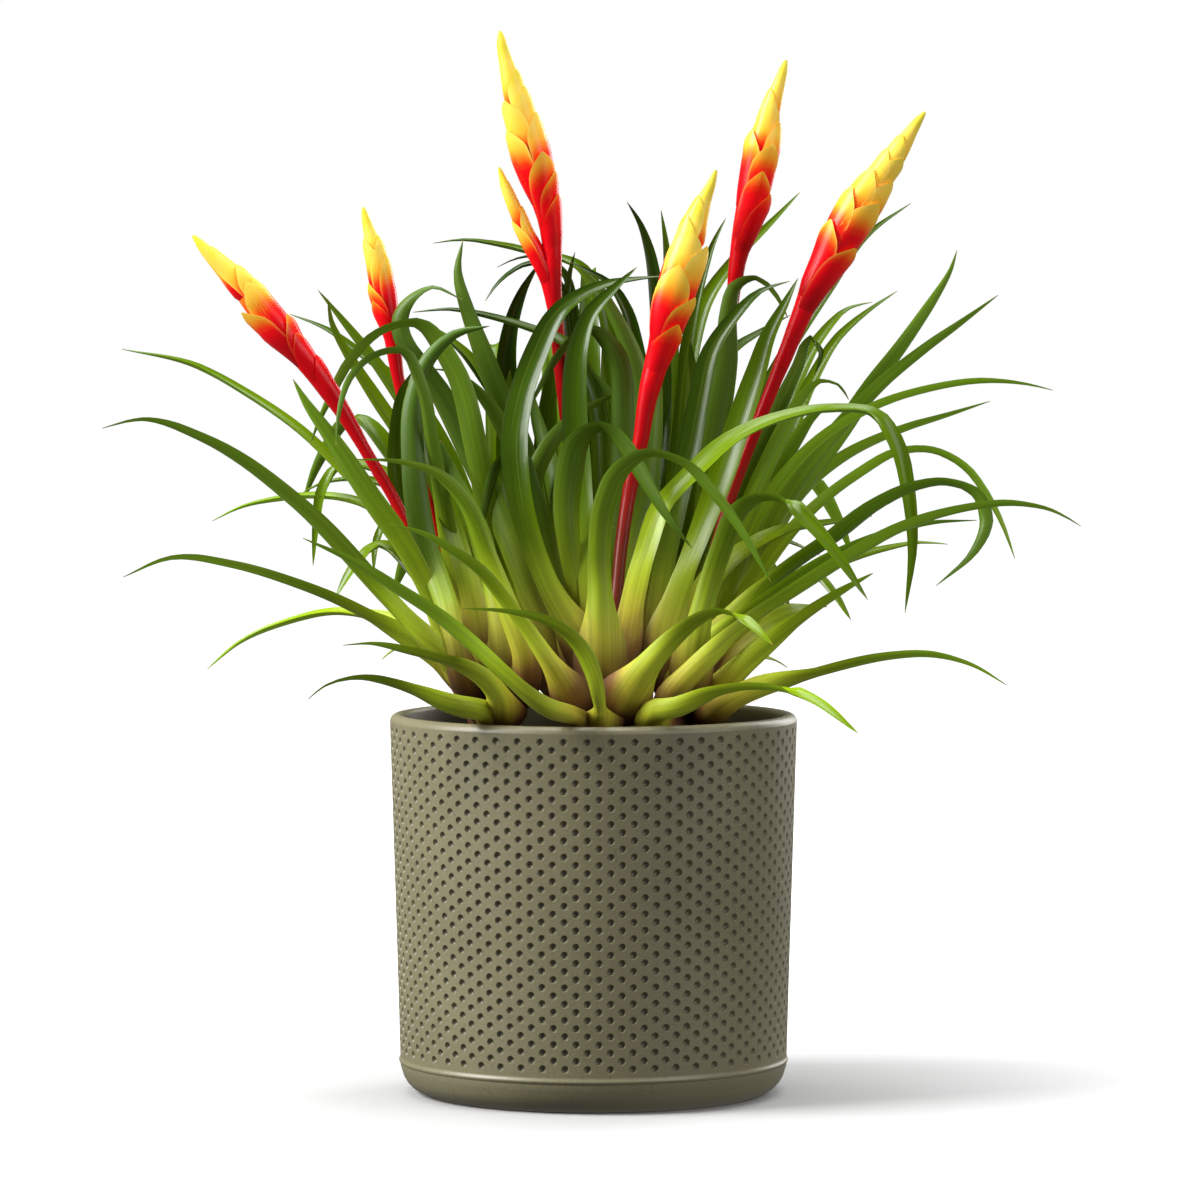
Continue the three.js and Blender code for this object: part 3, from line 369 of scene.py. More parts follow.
# %% Leaf profiles
LEAF_START = 143.0
NECK_AFTER = 40.0
NECK_WIDTH = 9.0
BULB_WIDTH = [
    (-40, 0.34), (-10, 0.42), (0, 0.48), (4, 0.5), (9, 0.465), (14, 0.385), (20, 0.29), (28, 0.215),
]
BLADE_WIDTH = [(0.3, 0.5), (0.6, 0.42), (0.85, 0.23)]
TIP_HALF_WIDTH = 0.25
BULB_DEPTH = [(-40, 0.24), (-10, 0.28), (5, 0.34), (17, 0.25), (30, 0.14), (NECK_AFTER, 0)]
BLADE_DEPTH = [(15, 0), (30, 1.2), (NECK_AFTER, 1.8), (66, 0.9), (400, 0.8)]
LEAF_TROUGH = [(-40, 1.5), (6, 1.5), (20, 1), (NECK_AFTER, 0.6), (66, 1.6), (400, 1.4)]


class Sheath:
    """How a leaf swells round its root, the lowest point of it that shows."""

    def __init__(self, root, bulb=BASE_WIDTH, neck=NECK_WIDTH, tall=1.0):
        self.root = root
        self.bulb = bulb
        self.neck = neck
        self.tall = tall
        self.end = NECK_AFTER * tall


def leaf_width_knots(width, sheath, whole):
    """Half widths by distance past a leaf's root."""
    blade = whole - sheath.end
    swelling = [
        (past * (sheath.tall if past > 0 else 1), max(sheath.bulb * share, sheath.neck / 2 * (past > 0)))
        for past, share in BULB_WIDTH
    ]
    strap = [(sheath.end + blade * share, width * half) for share, half in BLADE_WIDTH]
    return swelling + [(sheath.end, sheath.neck / 2)] + strap + [(whole, TIP_HALF_WIDTH)]


def leaf_depths(sheath, past):
    """How far a leaf's back stands out below its line."""
    past = np.where(past > 0, past / sheath.tall, past)
    return sheath.bulb * knots_at(BULB_DEPTH, past) + knots_at(BLADE_DEPTH, past)


knots = leaf_width_knots(10, Sheath(20), 200)
print("a usual base swells to", round(2 * max(half for _, half in knots), 1), "mm")

# %% [markdown]
# A strap leaf turns slowly about its own line. Left level, most blades would be seen edge-on
# from the front, and turned all the way they would look like paper cut-outs. A share between
# the two, larger where the leaf stands upright and largest at the bulb, looks like a plant.

# %% Which way a leaf is wide
LEAST_TURN = 0.2
MORE_TURN = 0.5
BULB_TURN = 0.9
TWIST_END = 60.0
TWIST_LENGTH = 35.0


def width_directions(run, root):
    """Unit vectors across a leaf: level, and turned part way to the front, most at its bulb."""
    heading = run[-1] - run[0]
    level = unit(np.array([-heading[1], heading[0], 0.0]))
    lengths = lengths_along(run)
    along = direction_along(run, lengths, lengths)
    guide = np.array([1.0 if level[0] >= 0 else -1.0, 0, 0])
    found = []
    for one, length in zip(along, lengths):
        turn = LEAST_TURN + MORE_TURN * one[2] ** 2
        turn = max(turn, BULB_TURN * min(1, max(0, (root + TWIST_END - length) / TWIST_LENGTH)))
        flat = unit(level - one * np.dot(level, one))
        facing = np.cross((0.0, 1.0, 0.0), one)
        if np.dot(facing, guide) < 0:
            facing = -facing
        width = flat * (1 - turn) + facing * turn
        guide = unit(width - one * np.dot(width, one))
        found.append(guide)
    return np.array(found)


upright = np.array([(0, 0, 0), (0, 1, 60), (0, 3, 120)], float)
print("an upright leaf is wide along", width_directions(upright, 20)[1].round(2))

# %% [markdown]
# ## Lines of the leaves
# A drawn leaf runs from its plant's heart through its picture points, and its depth changes
# evenly from root to tip. A hidden one rises, arches over and comes down in an upright plane.
# A spike rises from the soil through its plant and then follows its own line.

# %% From rows to lines
ARCH = [(0, 0), (0.1, 0.16), (0.28, 0.5), (0.52, 0.86), (0.74, 1), (0.9, 0.97), (1, 0.88)]
ARCH_TOP = 0.74
FARTHEST_ROOT = 34.0
HIDDEN_ROOT = 16.0
DRAWN_STEP = 12.0
HIDDEN_STEP = 5.0


def points_of(text):
    return np.array([[float(v) for v in pair.split(",")] for pair in text.split()])


def drawn_leaf(plant, row):
    """A leaf's picture points and depths, from the plant's heart outward."""
    heart = picture_point(np.array([*PLANTS[plant], LEAF_START]))
    route = points_of(row[3])
    reach = lengths_along(route)
    depths = row[1] + (row[2] - row[1]) * reach / reach[-1]
    points = np.vstack([
        [*heart, PLANTS[plant][1] / PIXEL],
        np.column_stack([route, depths / PIXEL]),
    ])
    line = smooth_run(points, DRAWN_STEP)
    line[:, 2] *= PIXEL
    run = place(*line.T)
    first = place(*route[0], depths[0])
    root = lengths_along(run)[np.argmin(np.linalg.norm(run - first, axis=1))]
    return line, min(float(root), FARTHEST_ROOT)


def arching_leaf(plant, row):
    heading, reach, height, droop, _ = row
    x, y = PLANTS[plant]
    out, up = np.array(ARCH).T
    drop = droop * 2 * np.maximum(0, out - ARCH_TOP)
    run = smooth_run(np.column_stack([
        x + reach * out * np.cos(np.radians(heading)),
        y + reach * out * np.sin(np.radians(heading)),
        LEAF_START + height * up - drop,
    ]), HIDDEN_STEP)
    return np.column_stack([picture_point(run), run[:, 1]])


leaf_list = []
for plant in PLANTS:
    for row in LEAVES[plant]:
        line, root = drawn_leaf(plant, row)
        leaf_list.append((plant, row[0], Sheath(root, *row[4:]), line))
    for row in HIDDEN_LEAVES.get(plant, []):
        leaf_list.append((plant, row[4], Sheath(HIDDEN_ROOT), arching_leaf(plant, row)))
print(len(leaf_list), "leaves have a line")

# %% [markdown]
# A spike leaves the heart of its plant at the plant's own depth and takes on the depth of its
# row as it rises. Its outline is read off the widths in its row. Below the head the leaves
# hide it more and more, and there it thins a little.

# %% Lines and widths of the spikes
SCAPE_FOOT = 120.0
SCAPE_MOUTH = 136.0
SPIKE_STEP = 4.0
DEPTH_GROWS_OVER = 90.0
LEAST_GROWTH = 0.2
SCAPE_THINS_OVER = 90.0
SCAPE_THINNEST = 0.72


def spike_line(row):
    """A spike's places from its foot in the soil to its tip."""
    x, y = PLANTS[row[0]]
    route = points_of(row[4])
    height = place(route[:, 0], route[:, 1], 0)[:, 2] - LEAF_START
    growth = np.clip(height / DEPTH_GROWS_OVER, LEAST_GROWTH, 1)
    points = place(route[:, 0], route[:, 1], y + (row[1] - y) * growth)
    return smooth_run(np.vstack([(x, y, SCAPE_FOOT), (x, y, SCAPE_MOUTH), points]), SPIKE_STEP)


def branch_line(row):
    route = points_of(row[4])
    depths = np.full(len(route), float(row[1]))
    return smooth_run(place(route[:, 0], route[:, 1], depths), SPIKE_STEP)


def spike_half(row, below):
    """Half width of a spike's outline at a distance below its tip."""
    thinner = np.interp(below - row[2], (0, SCAPE_THINS_OVER), (1, SCAPE_THINNEST))
    return knots_at(points_of(row[3]), below) / 2 * thinner


SPIKE_RUNS = {name: spike_line(row) for name, row in SPIKES.items()}
BRANCH_RUN = branch_line(SIDE_BRANCH)
for name, run in SPIKE_RUNS.items():
    print(name, "is", round(lengths_along(run)[-1]), "mm long from its foot")

# %% [markdown]
# ## Room between the leaves
# Nearly a hundred leaves drawn from the front would pass through each other in depth. A cloth
# or rigid-body run could part them, but it would also move them in the front view. So wherever
# two lie over each other in the view, they are pushed apart in depth alone, a little at a
# time, as growing leaves push each other aside. Every leaf becomes a row of samples, and each
# sample knows how much room it takes across the view and in depth, and how free it is to
# move: the heart is fixed and the blade is free.

# %% Samples of every leaf and spike
ROOM_BESIDE = 1.0
ROOM_BEHIND = 0.4
HELD_LENGTH = 10.0
LOOSENS_OVER = 26.0
SPIKE_ROOM = 1.04
SPIKE_GAP = 0.6


def leaf_samples(width, sheath, line):
    """The room that each sample of a leaf takes across and in depth, and its freedom."""
    run = place(*line.T)
    lengths = lengths_along(run)
    past = lengths - sheath.root
    half = knots_at(leaf_width_knots(width, sheath, past[-1]), past)
    body = leaf_depths(sheath, past) + knots_at(LEAF_TROUGH, past) / 2
    side = np.abs(width_directions(run, sheath.root)[:, 1])
    across = half * np.sqrt(np.maximum(0, 1 - side**2)) + ROOM_BESIDE
    deep = half * side + body * (1 - side) + ROOM_BEHIND
    return across, deep, np.clip((lengths - HELD_LENGTH) / LOOSENS_OVER, 0, 1)


lines = [one[-1] for one in leaf_list]
rooms = [leaf_samples(*one[1:]) for one in leaf_list]
owners = [one[0] for one in leaf_list]
for name, row in list(SPIKES.items()) + [("side_branch", SIDE_BRANCH)]:
    run = BRANCH_RUN if name == "side_branch" else SPIKE_RUNS[name]
    lengths = lengths_along(run)
    half = spike_half(row, lengths[-1] - lengths) * SPIKE_ROOM + SPIKE_GAP
    lines.append(np.column_stack([picture_point(run), run[:, 1]]))
    rooms.append((half, half, np.zeros(len(run))))
    owners.append(name)
print(sum(len(line) for line in lines), "samples")

# %% [markdown]
# Meetings are found once: pairs of samples of two leaves whose outlines overlap in the view.
# Which leaf is in front is decided once too. A short crossing keeps one order all along it,
# and where two leaves run side by side each pair keeps the order it has. Leaves of one plant
# may nestle closer than those of two.

# %% Meetings between samples
starts = np.concatenate([[0], np.cumsum([len(line) for line in lines])])
sample_line = np.vstack(lines)
across, deep, free = (np.concatenate([room[k] for room in rooms]) for k in range(3))
SHORT_CROSSING = 14
NESTLING = 0.6
GAP_IN_PLANT = 1.2
GAP_BETWEEN_PLANTS = 0.8


def meetings(i, j):
    """Pairs of samples of two lines that overlap, their order and the room they need."""
    a = np.arange(starts[i], starts[i + 1])
    b = np.arange(starts[j], starts[j + 1])
    gap = sample_line[a][:, None, :2] - sample_line[b][None, :, :2]
    near = np.hypot(gap[..., 0], gap[..., 1]) * PIXEL < across[a][:, None] + across[b]
    first, second = np.nonzero(near)
    first, second = a[first], b[second]
    order = sample_line[second, 2] - sample_line[first, 2]
    if len(first) < SHORT_CROSSING:
        order = np.full(len(first), np.sum(order * (free[first] + free[second])))
    room = deep[first] + deep[second]
    same = owners[i] == owners[j]
    room = room * NESTLING + GAP_IN_PLANT if same else room + GAP_BETWEEN_PLANTS
    return first, second, np.where(order >= 0, 1.0, -1.0), room


found = [
    meetings(i, j)
    for i in range(len(leaf_list))
    for j in range(i + 1, len(lines))
]
first, second, sign, room = (np.concatenate([one[k] for one in found]) for k in range(4))
total = free[first] + free[second]
movable = total > 0
first, second, sign, room = first[movable], second[movable], sign[movable], room[movable]
share_first = free[first] / total[movable]
share_second = free[second] / total[movable]
print(len(first), "meetings")

# %% [markdown]
# Each round adds up the pushes on every sample and passes them on to its neighbours along the
# leaf, so that a leaf bends in a bow and not in a kink. A few rounds of settling at the end
# smooth what is left.

# %% Push apart
depth = sample_line[:, 2].copy()
index = np.arange(len(depth))
owner = np.repeat(np.arange(len(lines)), np.diff(starts))
before = np.maximum(index - 1, starts[owner])
after = np.minimum(index + 1, starts[owner + 1] - 1)
ROUNDS = 160
PASSES_ALONG = 3
PUSH_SHARE = 0.7
SETTLING = 24
for _ in range(ROUNDS):
    short = room - (depth[second] - depth[first]) * sign
    pushing = short > 0
    step = (sign * short)[pushing]
    size = len(depth)
    push = np.bincount(second[pushing], step * share_second[pushing], size)
    push -= np.bincount(first[pushing], step * share_first[pushing], size)
    count = np.bincount(first[pushing], minlength=size) + np.bincount(second[pushing], minlength=size)
    moves = push / np.maximum(1, count)
    for _ in range(PASSES_ALONG):
        mean = (moves[before] + moves + moves[after]) / 3
        moves = np.where(np.abs(mean) > np.abs(moves), mean, (mean + moves) / 2)
    depth += moves * free * PUSH_SHARE
for _ in range(SETTLING):
    depth += (depth[before] + depth[after] - 2 * depth) / 4 * free
left = np.maximum(0, room - (depth[second] - depth[first]) * sign)
print("moved", round(float(np.abs(depth - sample_line[:, 2]).max()), 1), "mm at most;",
      "still short by", round(float(left.mean()), 2), "mm on average")

# %% [markdown]
# A real leaf rests on the lip of the pot or bends up before it. Here the line of each leaf is
# lifted a little where it would touch the soil or the lip, and its first part is calmed, so
# that the lift doesn't show as a bump.

# %% Final lines
SOIL_TOP = 134.0
POT_HEIGHT = round(float(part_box("pot")[1][2]) / MM, 2)
POT_RIM = 80.0
LIP_FROM = POT_RIM - 22.0
LIP_RISES_OVER = 10.0
LIP_REACH = 104.0
LIP_FALLS_OVER = 16.0
OVER_SOIL = 3.0
OVER_LIP = 1.2
LEAF_BODY = 3.2
LIFTS_OVER_STEPS = 4
CALM_LENGTH = 90.0
CALM_ENDS_OVER = 30.0
CALMING = 6


def clear_pot(run, width):
    """A leaf's line, lifted clear of the soil and the lip."""
    out = np.hypot(run[:, 0], run[:, 1])
    room = width * 0.5 + LEAF_BODY
    over_soil = SOIL_TOP + OVER_SOIL + room
    over_lip = POT_HEIGHT + OVER_LIP + room * 0.75
    arriving = np.clip((out - LIP_FROM) / LIP_RISES_OVER, 0, 1)
    leaving = np.clip((LIP_REACH - out) / LIP_FALLS_OVER, 0, 1)
    floor = over_soil + (over_lip - over_soil) * arriving * leaving
    order = np.arange(len(run))
    calm = np.clip((CALM_LENGTH - lengths_along(run)) / CALM_ENDS_OVER, 0, 1)
    lift = np.where((out < LIP_REACH) & (order > 1), np.maximum(0, floor - run[:, 2]), 0)
    run[:, 2] += lift * np.minimum(1, order / LIFTS_OVER_STEPS)
    for _ in range(CALMING):
        run[1:-1] += (run[:-2] + run[2:] - 2 * run[1:-1]) / 4 * calm[1:-1, None]
    return run


leaf_runs = []
for i, (plant, width, sheath, _) in enumerate(leaf_list):
    part = slice(starts[i], starts[i + 1])
    run = place(sample_line[part, 0], sample_line[part, 1], depth[part])
    leaf_runs.append((plant, width, sheath, clear_pot(run, across[part])))
print("longest leaf", round(max(lengths_along(one[-1])[-1] for one in leaf_runs)), "mm")

# %% [markdown]
# ## From points to pieces
# Leaves, bracts and scapes could be made with curve or skin modifiers. Here every piece is a
# plain mesh built from rings of points, because they all are tubes with a changing section,
# and because numbers kept on their points tell a finish where on a leaf it is. Shape gathers
# such forms, and a few helpers make rings, faces and rows of point values.

# %% Shapes and their faces
class Shape:
    """Points, faces and point values gathered from many small forms."""

    def __init__(self):
        self.points = []
        self.faces = []
        self.values = {}
        self.face_values = []
        self.count = 0

    def add(self, points, faces, values, face_values=None):
        """Adds one form; values is a dictionary of an array per point."""
        points = np.asarray(points, float).reshape(-1, 3)
        self.points.append(points)
        self.faces += [tuple(int(i) + self.count for i in face) for face in faces]
        for key, value in values.items():
            value = np.broadcast_to(np.asarray(value, float), (len(points), 3))
            self.values.setdefault(key, []).append(value)
        self.face_values += list(face_values) if face_values is not None else [0.0] * len(faces)
        self.count += len(points)


def tube_faces(rings, sides, closed=True):
    """Faces of a tube of rings, and of its two ends when it is closed."""
    faces = []
    for r in range(rings - 1):
        for s in range(sides):
            t = (s + 1) % sides
            a, b = r * sides, (r + 1) * sides
            faces.append((a + s, a + t, b + t, b + s))
    if closed:
        last = (rings - 1) * sides
        faces.append(tuple(range(sides - 1, -1, -1)))
        faces.append(tuple(last + s for s in range(sides)))
    return faces


def ring_points(middle, side, back, angle, radius):
    """Points at angles round each middle, in the plane of its two directions."""
    way = side[:, None] * np.cos(angle)[:, None] + back[:, None] * np.sin(angle)[:, None]
    return middle[:, None] + way * radius[..., None]


def rows_of(x, y, z):
    """Three values for every point, as rows to be kept on the mesh."""
    return np.stack(np.broadcast_arrays(x, y, z), axis=-1).reshape(-1, 3)


print("a closed tube of 3 rings of 6 points has", len(tube_faces(3, 6)), "faces")

# %% [markdown]
# A piece takes the place of one node of the solid model, and it carries its finish. Every
# piece rides on the root, because nothing of a potted plant turns or slides. Only edges
# sharper than a set angle are shaded as edges.

# %% Pieces
SHARP_FROM = np.radians(48)


def make_piece(name, shape, material, node):
    """A smooth-shaded object from a shape, in the place of a node of the solid model."""
    mesh = bpy.data.meshes.new(name)
    points = np.vstack(shape.points) * MM
    mesh.from_pydata(points.tolist(), [], shape.faces)
    for key, parts in shape.values.items():
        layer = mesh.attributes.new(key, "FLOAT_VECTOR", "POINT")
        layer.data.foreach_set("vector", np.vstack(parts).astype(np.float32).ravel())
    layer = mesh.attributes.new("side", "FLOAT", "FACE")
    layer.data.foreach_set("value", np.asarray(shape.face_values, np.float32))
    mesh.polygons.foreach_set("use_smooth", [True] * len(mesh.polygons))
    mesh.set_sharp_from_angle(angle=SHARP_FROM)
    mesh.materials.append(material)
    piece = bpy.data.objects.new(name, mesh)
    bpy.context.scene.collection.objects.link(piece)
    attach(piece, "root")
    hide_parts(node)
    faces = sum(len(face) - 2 for face in shape.faces)
    print(name, "has", faces, "triangles")
    return piece

# %% [markdown]
# ## Writing a finish as arithmetic
# A procedural material is a sum on a few values: how far along a leaf, how far across, a
# little noise. Its nodes could be placed by hand in the editor, but a sum is easier to read
# and to change. The Wire class wraps a node's output, so that such a sum is written as a
# Python expression and becomes Math nodes.

# %% Wires
class Wire:
    """One output of a node, with arithmetic that adds Math nodes."""

    def __init__(self, finish, socket):
        self.finish = finish
        self.socket = socket

    def math(self, operation, *values, clamp=False):
        settings = {"operation": operation, "use_clamp": clamp}
        return self.finish.node("ShaderNodeMath", settings, dict(enumerate(values)))

    def __add__(self, other):
        return self.math("ADD", self, other)

    __radd__ = __add__

    def __sub__(self, other):
        return self.math("SUBTRACT", self, other)

    def __rsub__(self, other):
        return self.math("SUBTRACT", other, self)

    def __mul__(self, other):
        return self.math("MULTIPLY", self, other)

    __rmul__ = __mul__

    def __truediv__(self, other):
        return self.math("DIVIDE", self, other)

    def __rtruediv__(self, other):
        return self.math("DIVIDE", other, self)

    def __pow__(self, other):
        return self.math("POWER", self, other)

    def __abs__(self):
        return self.math("ABSOLUTE", self)

    def clamped(self):
        return self.math("ADD", self, 0.0, clamp=True)

    def ramp(self, low, high):
        """0 below low, 1 above high, and smooth between."""
        settings = {"interpolation_type": "SMOOTHSTEP", "clamp": True}
        sockets = {"Value": self, "From Min": low, "From Max": high}
        return self.finish.node("ShaderNodeMapRange", settings, sockets)

# %% [markdown]
# Finish holds a material with one shader. Its node method adds any node from its type, its
# settings and its inputs, and the methods below it are short names for the nodes that this
# plant needs. Colours are mixed by Mix nodes, because a Math node would turn them grey.

# %% Finishes
class Finish:
    """A procedural material with one Principled shader."""

    def __init__(self, name):
        self.material = bpy.data.materials.new(name)
        self.material.use_nodes = True
        self.tree = self.material.node_tree
        self.tree.nodes.clear()

    def node(self, kind, settings=None, sockets=None, output=0):
        """Adds a node: its settings first, then values or wires for its inputs."""
        made = self.tree.nodes.new(kind)
        for key, value in (settings or {}).items():
            if key == "stops":
                self.set_stops(made.color_ramp, value)
            else:
                setattr(made, key, value)
        for key, value in (sockets or {}).items():
            if isinstance(value, Wire):
                self.tree.links.new(value.socket, made.inputs[key])
            else:
                made.inputs[key].default_value = value
        return Wire(self, made.outputs[output]) if len(made.outputs) else made

    @staticmethod
    def set_stops(ramp, stops):
        while len(ramp.elements) < len(stops):
            ramp.elements.new(1.0)
        for element, (position, colour) in zip(ramp.elements, stops):
            element.position = position
            element.color = (*colour, 1.0)

    def read(self, name):
        """The three numbers kept on a mesh's points under a name."""
        settings = {"attribute_name": name}
        return self.split(self.node("ShaderNodeAttribute", settings, output="Vector"))

    def split(self, vector):
        split = self.node("ShaderNodeSeparateXYZ", None, {"Vector": vector}).socket.node
        return [Wire(self, split.outputs[k]) for k in range(3)]

    def read_side(self):
        return self.node("ShaderNodeAttribute", {"attribute_name": "side"}, output="Fac")

    def join(self, x, y, z):
        return self.node("ShaderNodeCombineXYZ", None, {"X": x, "Y": y, "Z": z})

    def noise(self, vector, scale, detail=2.0, roughness=0.5):
        sockets = {"Vector": vector, "Scale": scale, "Detail": detail, "Roughness": roughness}
        return self.node("ShaderNodeTexNoise", None, sockets)

    def colours(self, value, stops):
        return self.node("ShaderNodeValToRGB", {"stops": stops}, {"Fac": value})

    def mix(self, factor, first, second, blend="MIX"):
        """Two colours, each a wire or three numbers, mixed by a factor."""
        settings = {"data_type": "RGBA", "blend_type": blend}
        first, second = (one if isinstance(one, Wire) else (*one, 1.0) for one in (first, second))
        return self.node("ShaderNodeMix", settings, {0: factor, 6: first, 7: second}, output=2)

    def bump(self, height, distance, strength=1.0):
        sockets = {"Height": height, "Distance": distance, "Strength": strength}
        return self.node("ShaderNodeBump", None, sockets)

    def done(self, **sockets):
        """Adds the shader; socket names are written with _ for a space."""
        named = {key.replace("_", " "): value for key, value in sockets.items()}
        shader = self.node("ShaderNodeBsdfPrincipled", None, named)
        self.node("ShaderNodeOutputMaterial", None, {"Surface": shader})
        print("finish", self.material.name, "uses", len(self.tree.nodes), "nodes")
        return self.material


def rgb(red, green, blue):
    """A colour as painters' numbers to 255, turned into the linear light that shaders use."""
    parts = np.array([red, green, blue]) / 255
    return tuple(np.where(parts < 0.04045, parts / 12.92, ((parts + 0.055) / 1.055) ** 2.4).tolist())


print("middle grey is", round(rgb(128, 128, 128)[0], 3), "of the light of white")

# %% [markdown]
# ## The leaf finish
# A leaf changes along its length: brown-purple where the swollen base sits in the plant, then
# yellow-green, and last a deep glossy blade. Its underside is paler and duller, fine ribs run
# lengthwise, and light comes through where the blade is thin, which a faint glow stands for.
# It could be painted leaf by leaf. Reading the distances along and across a leaf and its
# whole length off the points gives every leaf the same change at the right place. A lighter
# and a darker row of colours are mixed leaf by leaf: partly by chance, which keeps them from
# looking alike, and partly as painted light and shade, lighter on leaves that reach far out
# and darker on those that stand upright in the middle or lie in the shade of others.

# %% Leaf finish
COLOUR_LENGTH = 160.0
LIGHT_THROUGH = 0.7


def leaf_finish():
    look = Finish("leaf")
    along, across, whole = look.read("leaf_place")
    tone, dark, seed = look.read("leaf_look")
    under = look.read_side()
    strip = look.join(across * 0.75, along * 0.012, seed * 37.0)
    streak = look.noise(strip, 1.0, 1.5, 0.5)
    patch = look.noise(look.join(across * 0.06, along * 0.03, seed * 11.0), 1.0, 2.0)
    shift = (patch - 0.5) * 26 + (tone - 0.5) * 16
    place_on = ((along + shift - across * across * 0.1) / COLOUR_LENGTH).clamped()
    lighter_greens = look.colours(place_on, [
        (0.0, rgb(78, 44, 34)), (0.08, rgb(126, 88, 48)), (0.15, rgb(188, 176, 54)),
        (0.24, rgb(182, 194, 46)), (0.36, rgb(154, 174, 22)), (0.5, rgb(120, 146, 4)),
        (0.7, rgb(108, 136, 0)), (1.0, rgb(98, 128, 0)),
    ])
    darker_greens = look.colours(place_on, [
        (0.0, rgb(66, 40, 30)), (0.09, rgb(108, 80, 42)), (0.18, rgb(158, 156, 50)),
        (0.28, rgb(124, 144, 28)), (0.42, rgb(74, 100, 4)), (0.6, rgb(40, 66, 0)),
        (1.0, rgb(30, 54, 0)),
    ])
    # The darker greens are mixed in by each leaf's darkness, which is partly its own tone and partly
    # painted light and shade.
    blade = look.mix(dark, lighter_greens, darker_greens)
    pale = look.mix(along.ramp(60, 110) * under * 0.3, blade, rgb(100, 134, 40))
    streaked = look.mix(streak.ramp(0.35, 0.7) * 0.3, pale, rgb(40, 66, 10), "MULTIPLY")
    streaked = look.mix(streak.ramp(0.55, 0.8) * 0.12, streaked, rgb(178, 204, 70))
    tip = (whole - along + (patch - 0.5) * 3).ramp(0.2, 2.0)
    finished = look.mix((1 - tip) * 0.7, streaked, rgb(132, 112, 48))
    # Painted light: the blade glows by itself, more on lighter leaves and further out along them, for
    # light that comes through it.
    through = along.ramp(50, 130) * (1 - dark)
    glow = look.mix(through, rgb(0, 0, 0), finished)
    rough = 0.2 + under * 0.18 + streak * 0.12 + (1 - along.ramp(30, 80)) * 0.12
    ribs = look.noise(look.join(across * 0.8, along * 0.012, seed * 5.0), 1.0, 1.0)
    normal = look.bump(ribs, 0.0002, 0.4)
    return look.done(
        Base_Color=finished, Roughness=rough, Normal=normal,
        Specular_IOR_Level=0.22, Emission_Color=glow, Emission_Strength=LIGHT_THROUGH,
    )


LEAF = leaf_finish()
LEAF.cycles.emission_sampling = "NONE"

# %% [markdown]
# ## Rosettes
# Each leaf is a tube with a section of twelve points: seven across the upper face and five
# under it. Near its start the section is thick and round-backed, like the scale of an onion,
# and further out it is a thin strap with raised edges. A flat strip with a thickness would
# be lighter, but it couldn't swell. Stations stand closer together where a blade bends.

# %% Sections of a leaf
COLOUR_START = 12.0
UPPER = np.cos(np.linspace(0, np.pi, 7))
UNDER = np.cos(np.linspace(np.pi, 2 * np.pi, 7))[1:-1]
BASE_STATIONS = 16
BLADE_STATIONS = 34
FINE_STATIONS = 120
BEND_WEIGHT = 30.0
LEAF_FLESH = [(0, 0.6), (14, 0.6), (44, 0.2), (400, 0.05)]
BACK_SHARE = 0.85
BACK_ROUNDING = 0.6
THINNEST = 0.3
THINS_OVER = 50.0
TROUGH_ENDS_OVER = 30.0
POINT_HALF_WIDTH = 0.1


def blade_stations(run, lengths, whole, start):
    """Distances along a blade, closer together where it bends."""
    fine = np.linspace(start, whole, FINE_STATIONS)
    along = direction_along(run, lengths, fine)
    turn = np.arccos(np.clip(np.sum(along[1:] * along[:-1], axis=1), -1, 1))
    cost = np.concatenate([[0], np.cumsum(np.diff(fine) + BEND_WEIGHT * turn)])
    return np.interp(np.linspace(0, cost[-1], BLADE_STATIONS), cost, fine)


def leaf_rings(run, width, sheath):
    """Ring points of a leaf, with distances along and across them and to the leaf's tip."""
    lengths = lengths_along(run)
    whole = lengths[-1]
    start = sheath.root + sheath.end
    base = np.linspace(0, start, BASE_STATIONS, endpoint=False)
    where = np.concatenate([base, blade_stations(run, lengths, whole, start)])
    past = where - sheath.root
    middle = read_along(run, lengths, where)
    along = direction_along(run, lengths, where)
    wide = read_along(width_directions(run, sheath.root), lengths, where)
    wide = unit(wide - along * np.sum(wide * along, axis=1, keepdims=True))
    face = unit(np.cross(along, wide))
    half = softened(leaf_width_knots(width, sheath, past[-1]), past, 2.0 * sheath.tall)
    half[-1] = POINT_HALF_WIDTH
    thin = THINNEST + (1 - THINNEST) * np.minimum(1, (whole - where) / THINS_OVER)
    thin = thin * sum(leaf_depths(sheath, past + k) for k in (-4, 0, 4)) / 3
    rise = softened(LEAF_TROUGH, past) * np.minimum(1, (whole - where) / TROUGH_ENDS_OVER)
    flesh = softened(LEAF_FLESH, past)
    up = (thin * flesh)[:, None] * (1 - UPPER**2) + rise[:, None] * UPPER**2
    down = rise[:, None] * UNDER**2 - thin[:, None] * BACK_SHARE * (1 - UNDER**2) ** BACK_ROUNDING
    across = half[:, None] * np.concatenate([UPPER, UNDER])
    height = np.concatenate([up, down], axis=1)
    points = middle[:, None] + wide[:, None] * across[..., None] + face[:, None] * height[..., None]
    return points, past + COLOUR_START, across, past[-1] + COLOUR_START


sample = leaf_rings(leaf_runs[0][-1], *leaf_runs[0][1:3])[0]
print("a leaf has", sample.shape[0], "rings of", sample.shape[1], "points")

# %% [markdown]
# The heart of a rosette is a sheath of young leaves rolled round the foot of the spike. It
# could be made of leaves too, but hardly anything of it shows, so one folded tube stands for
# them. It carries the same values as a leaf, and the leaf finish colours it.

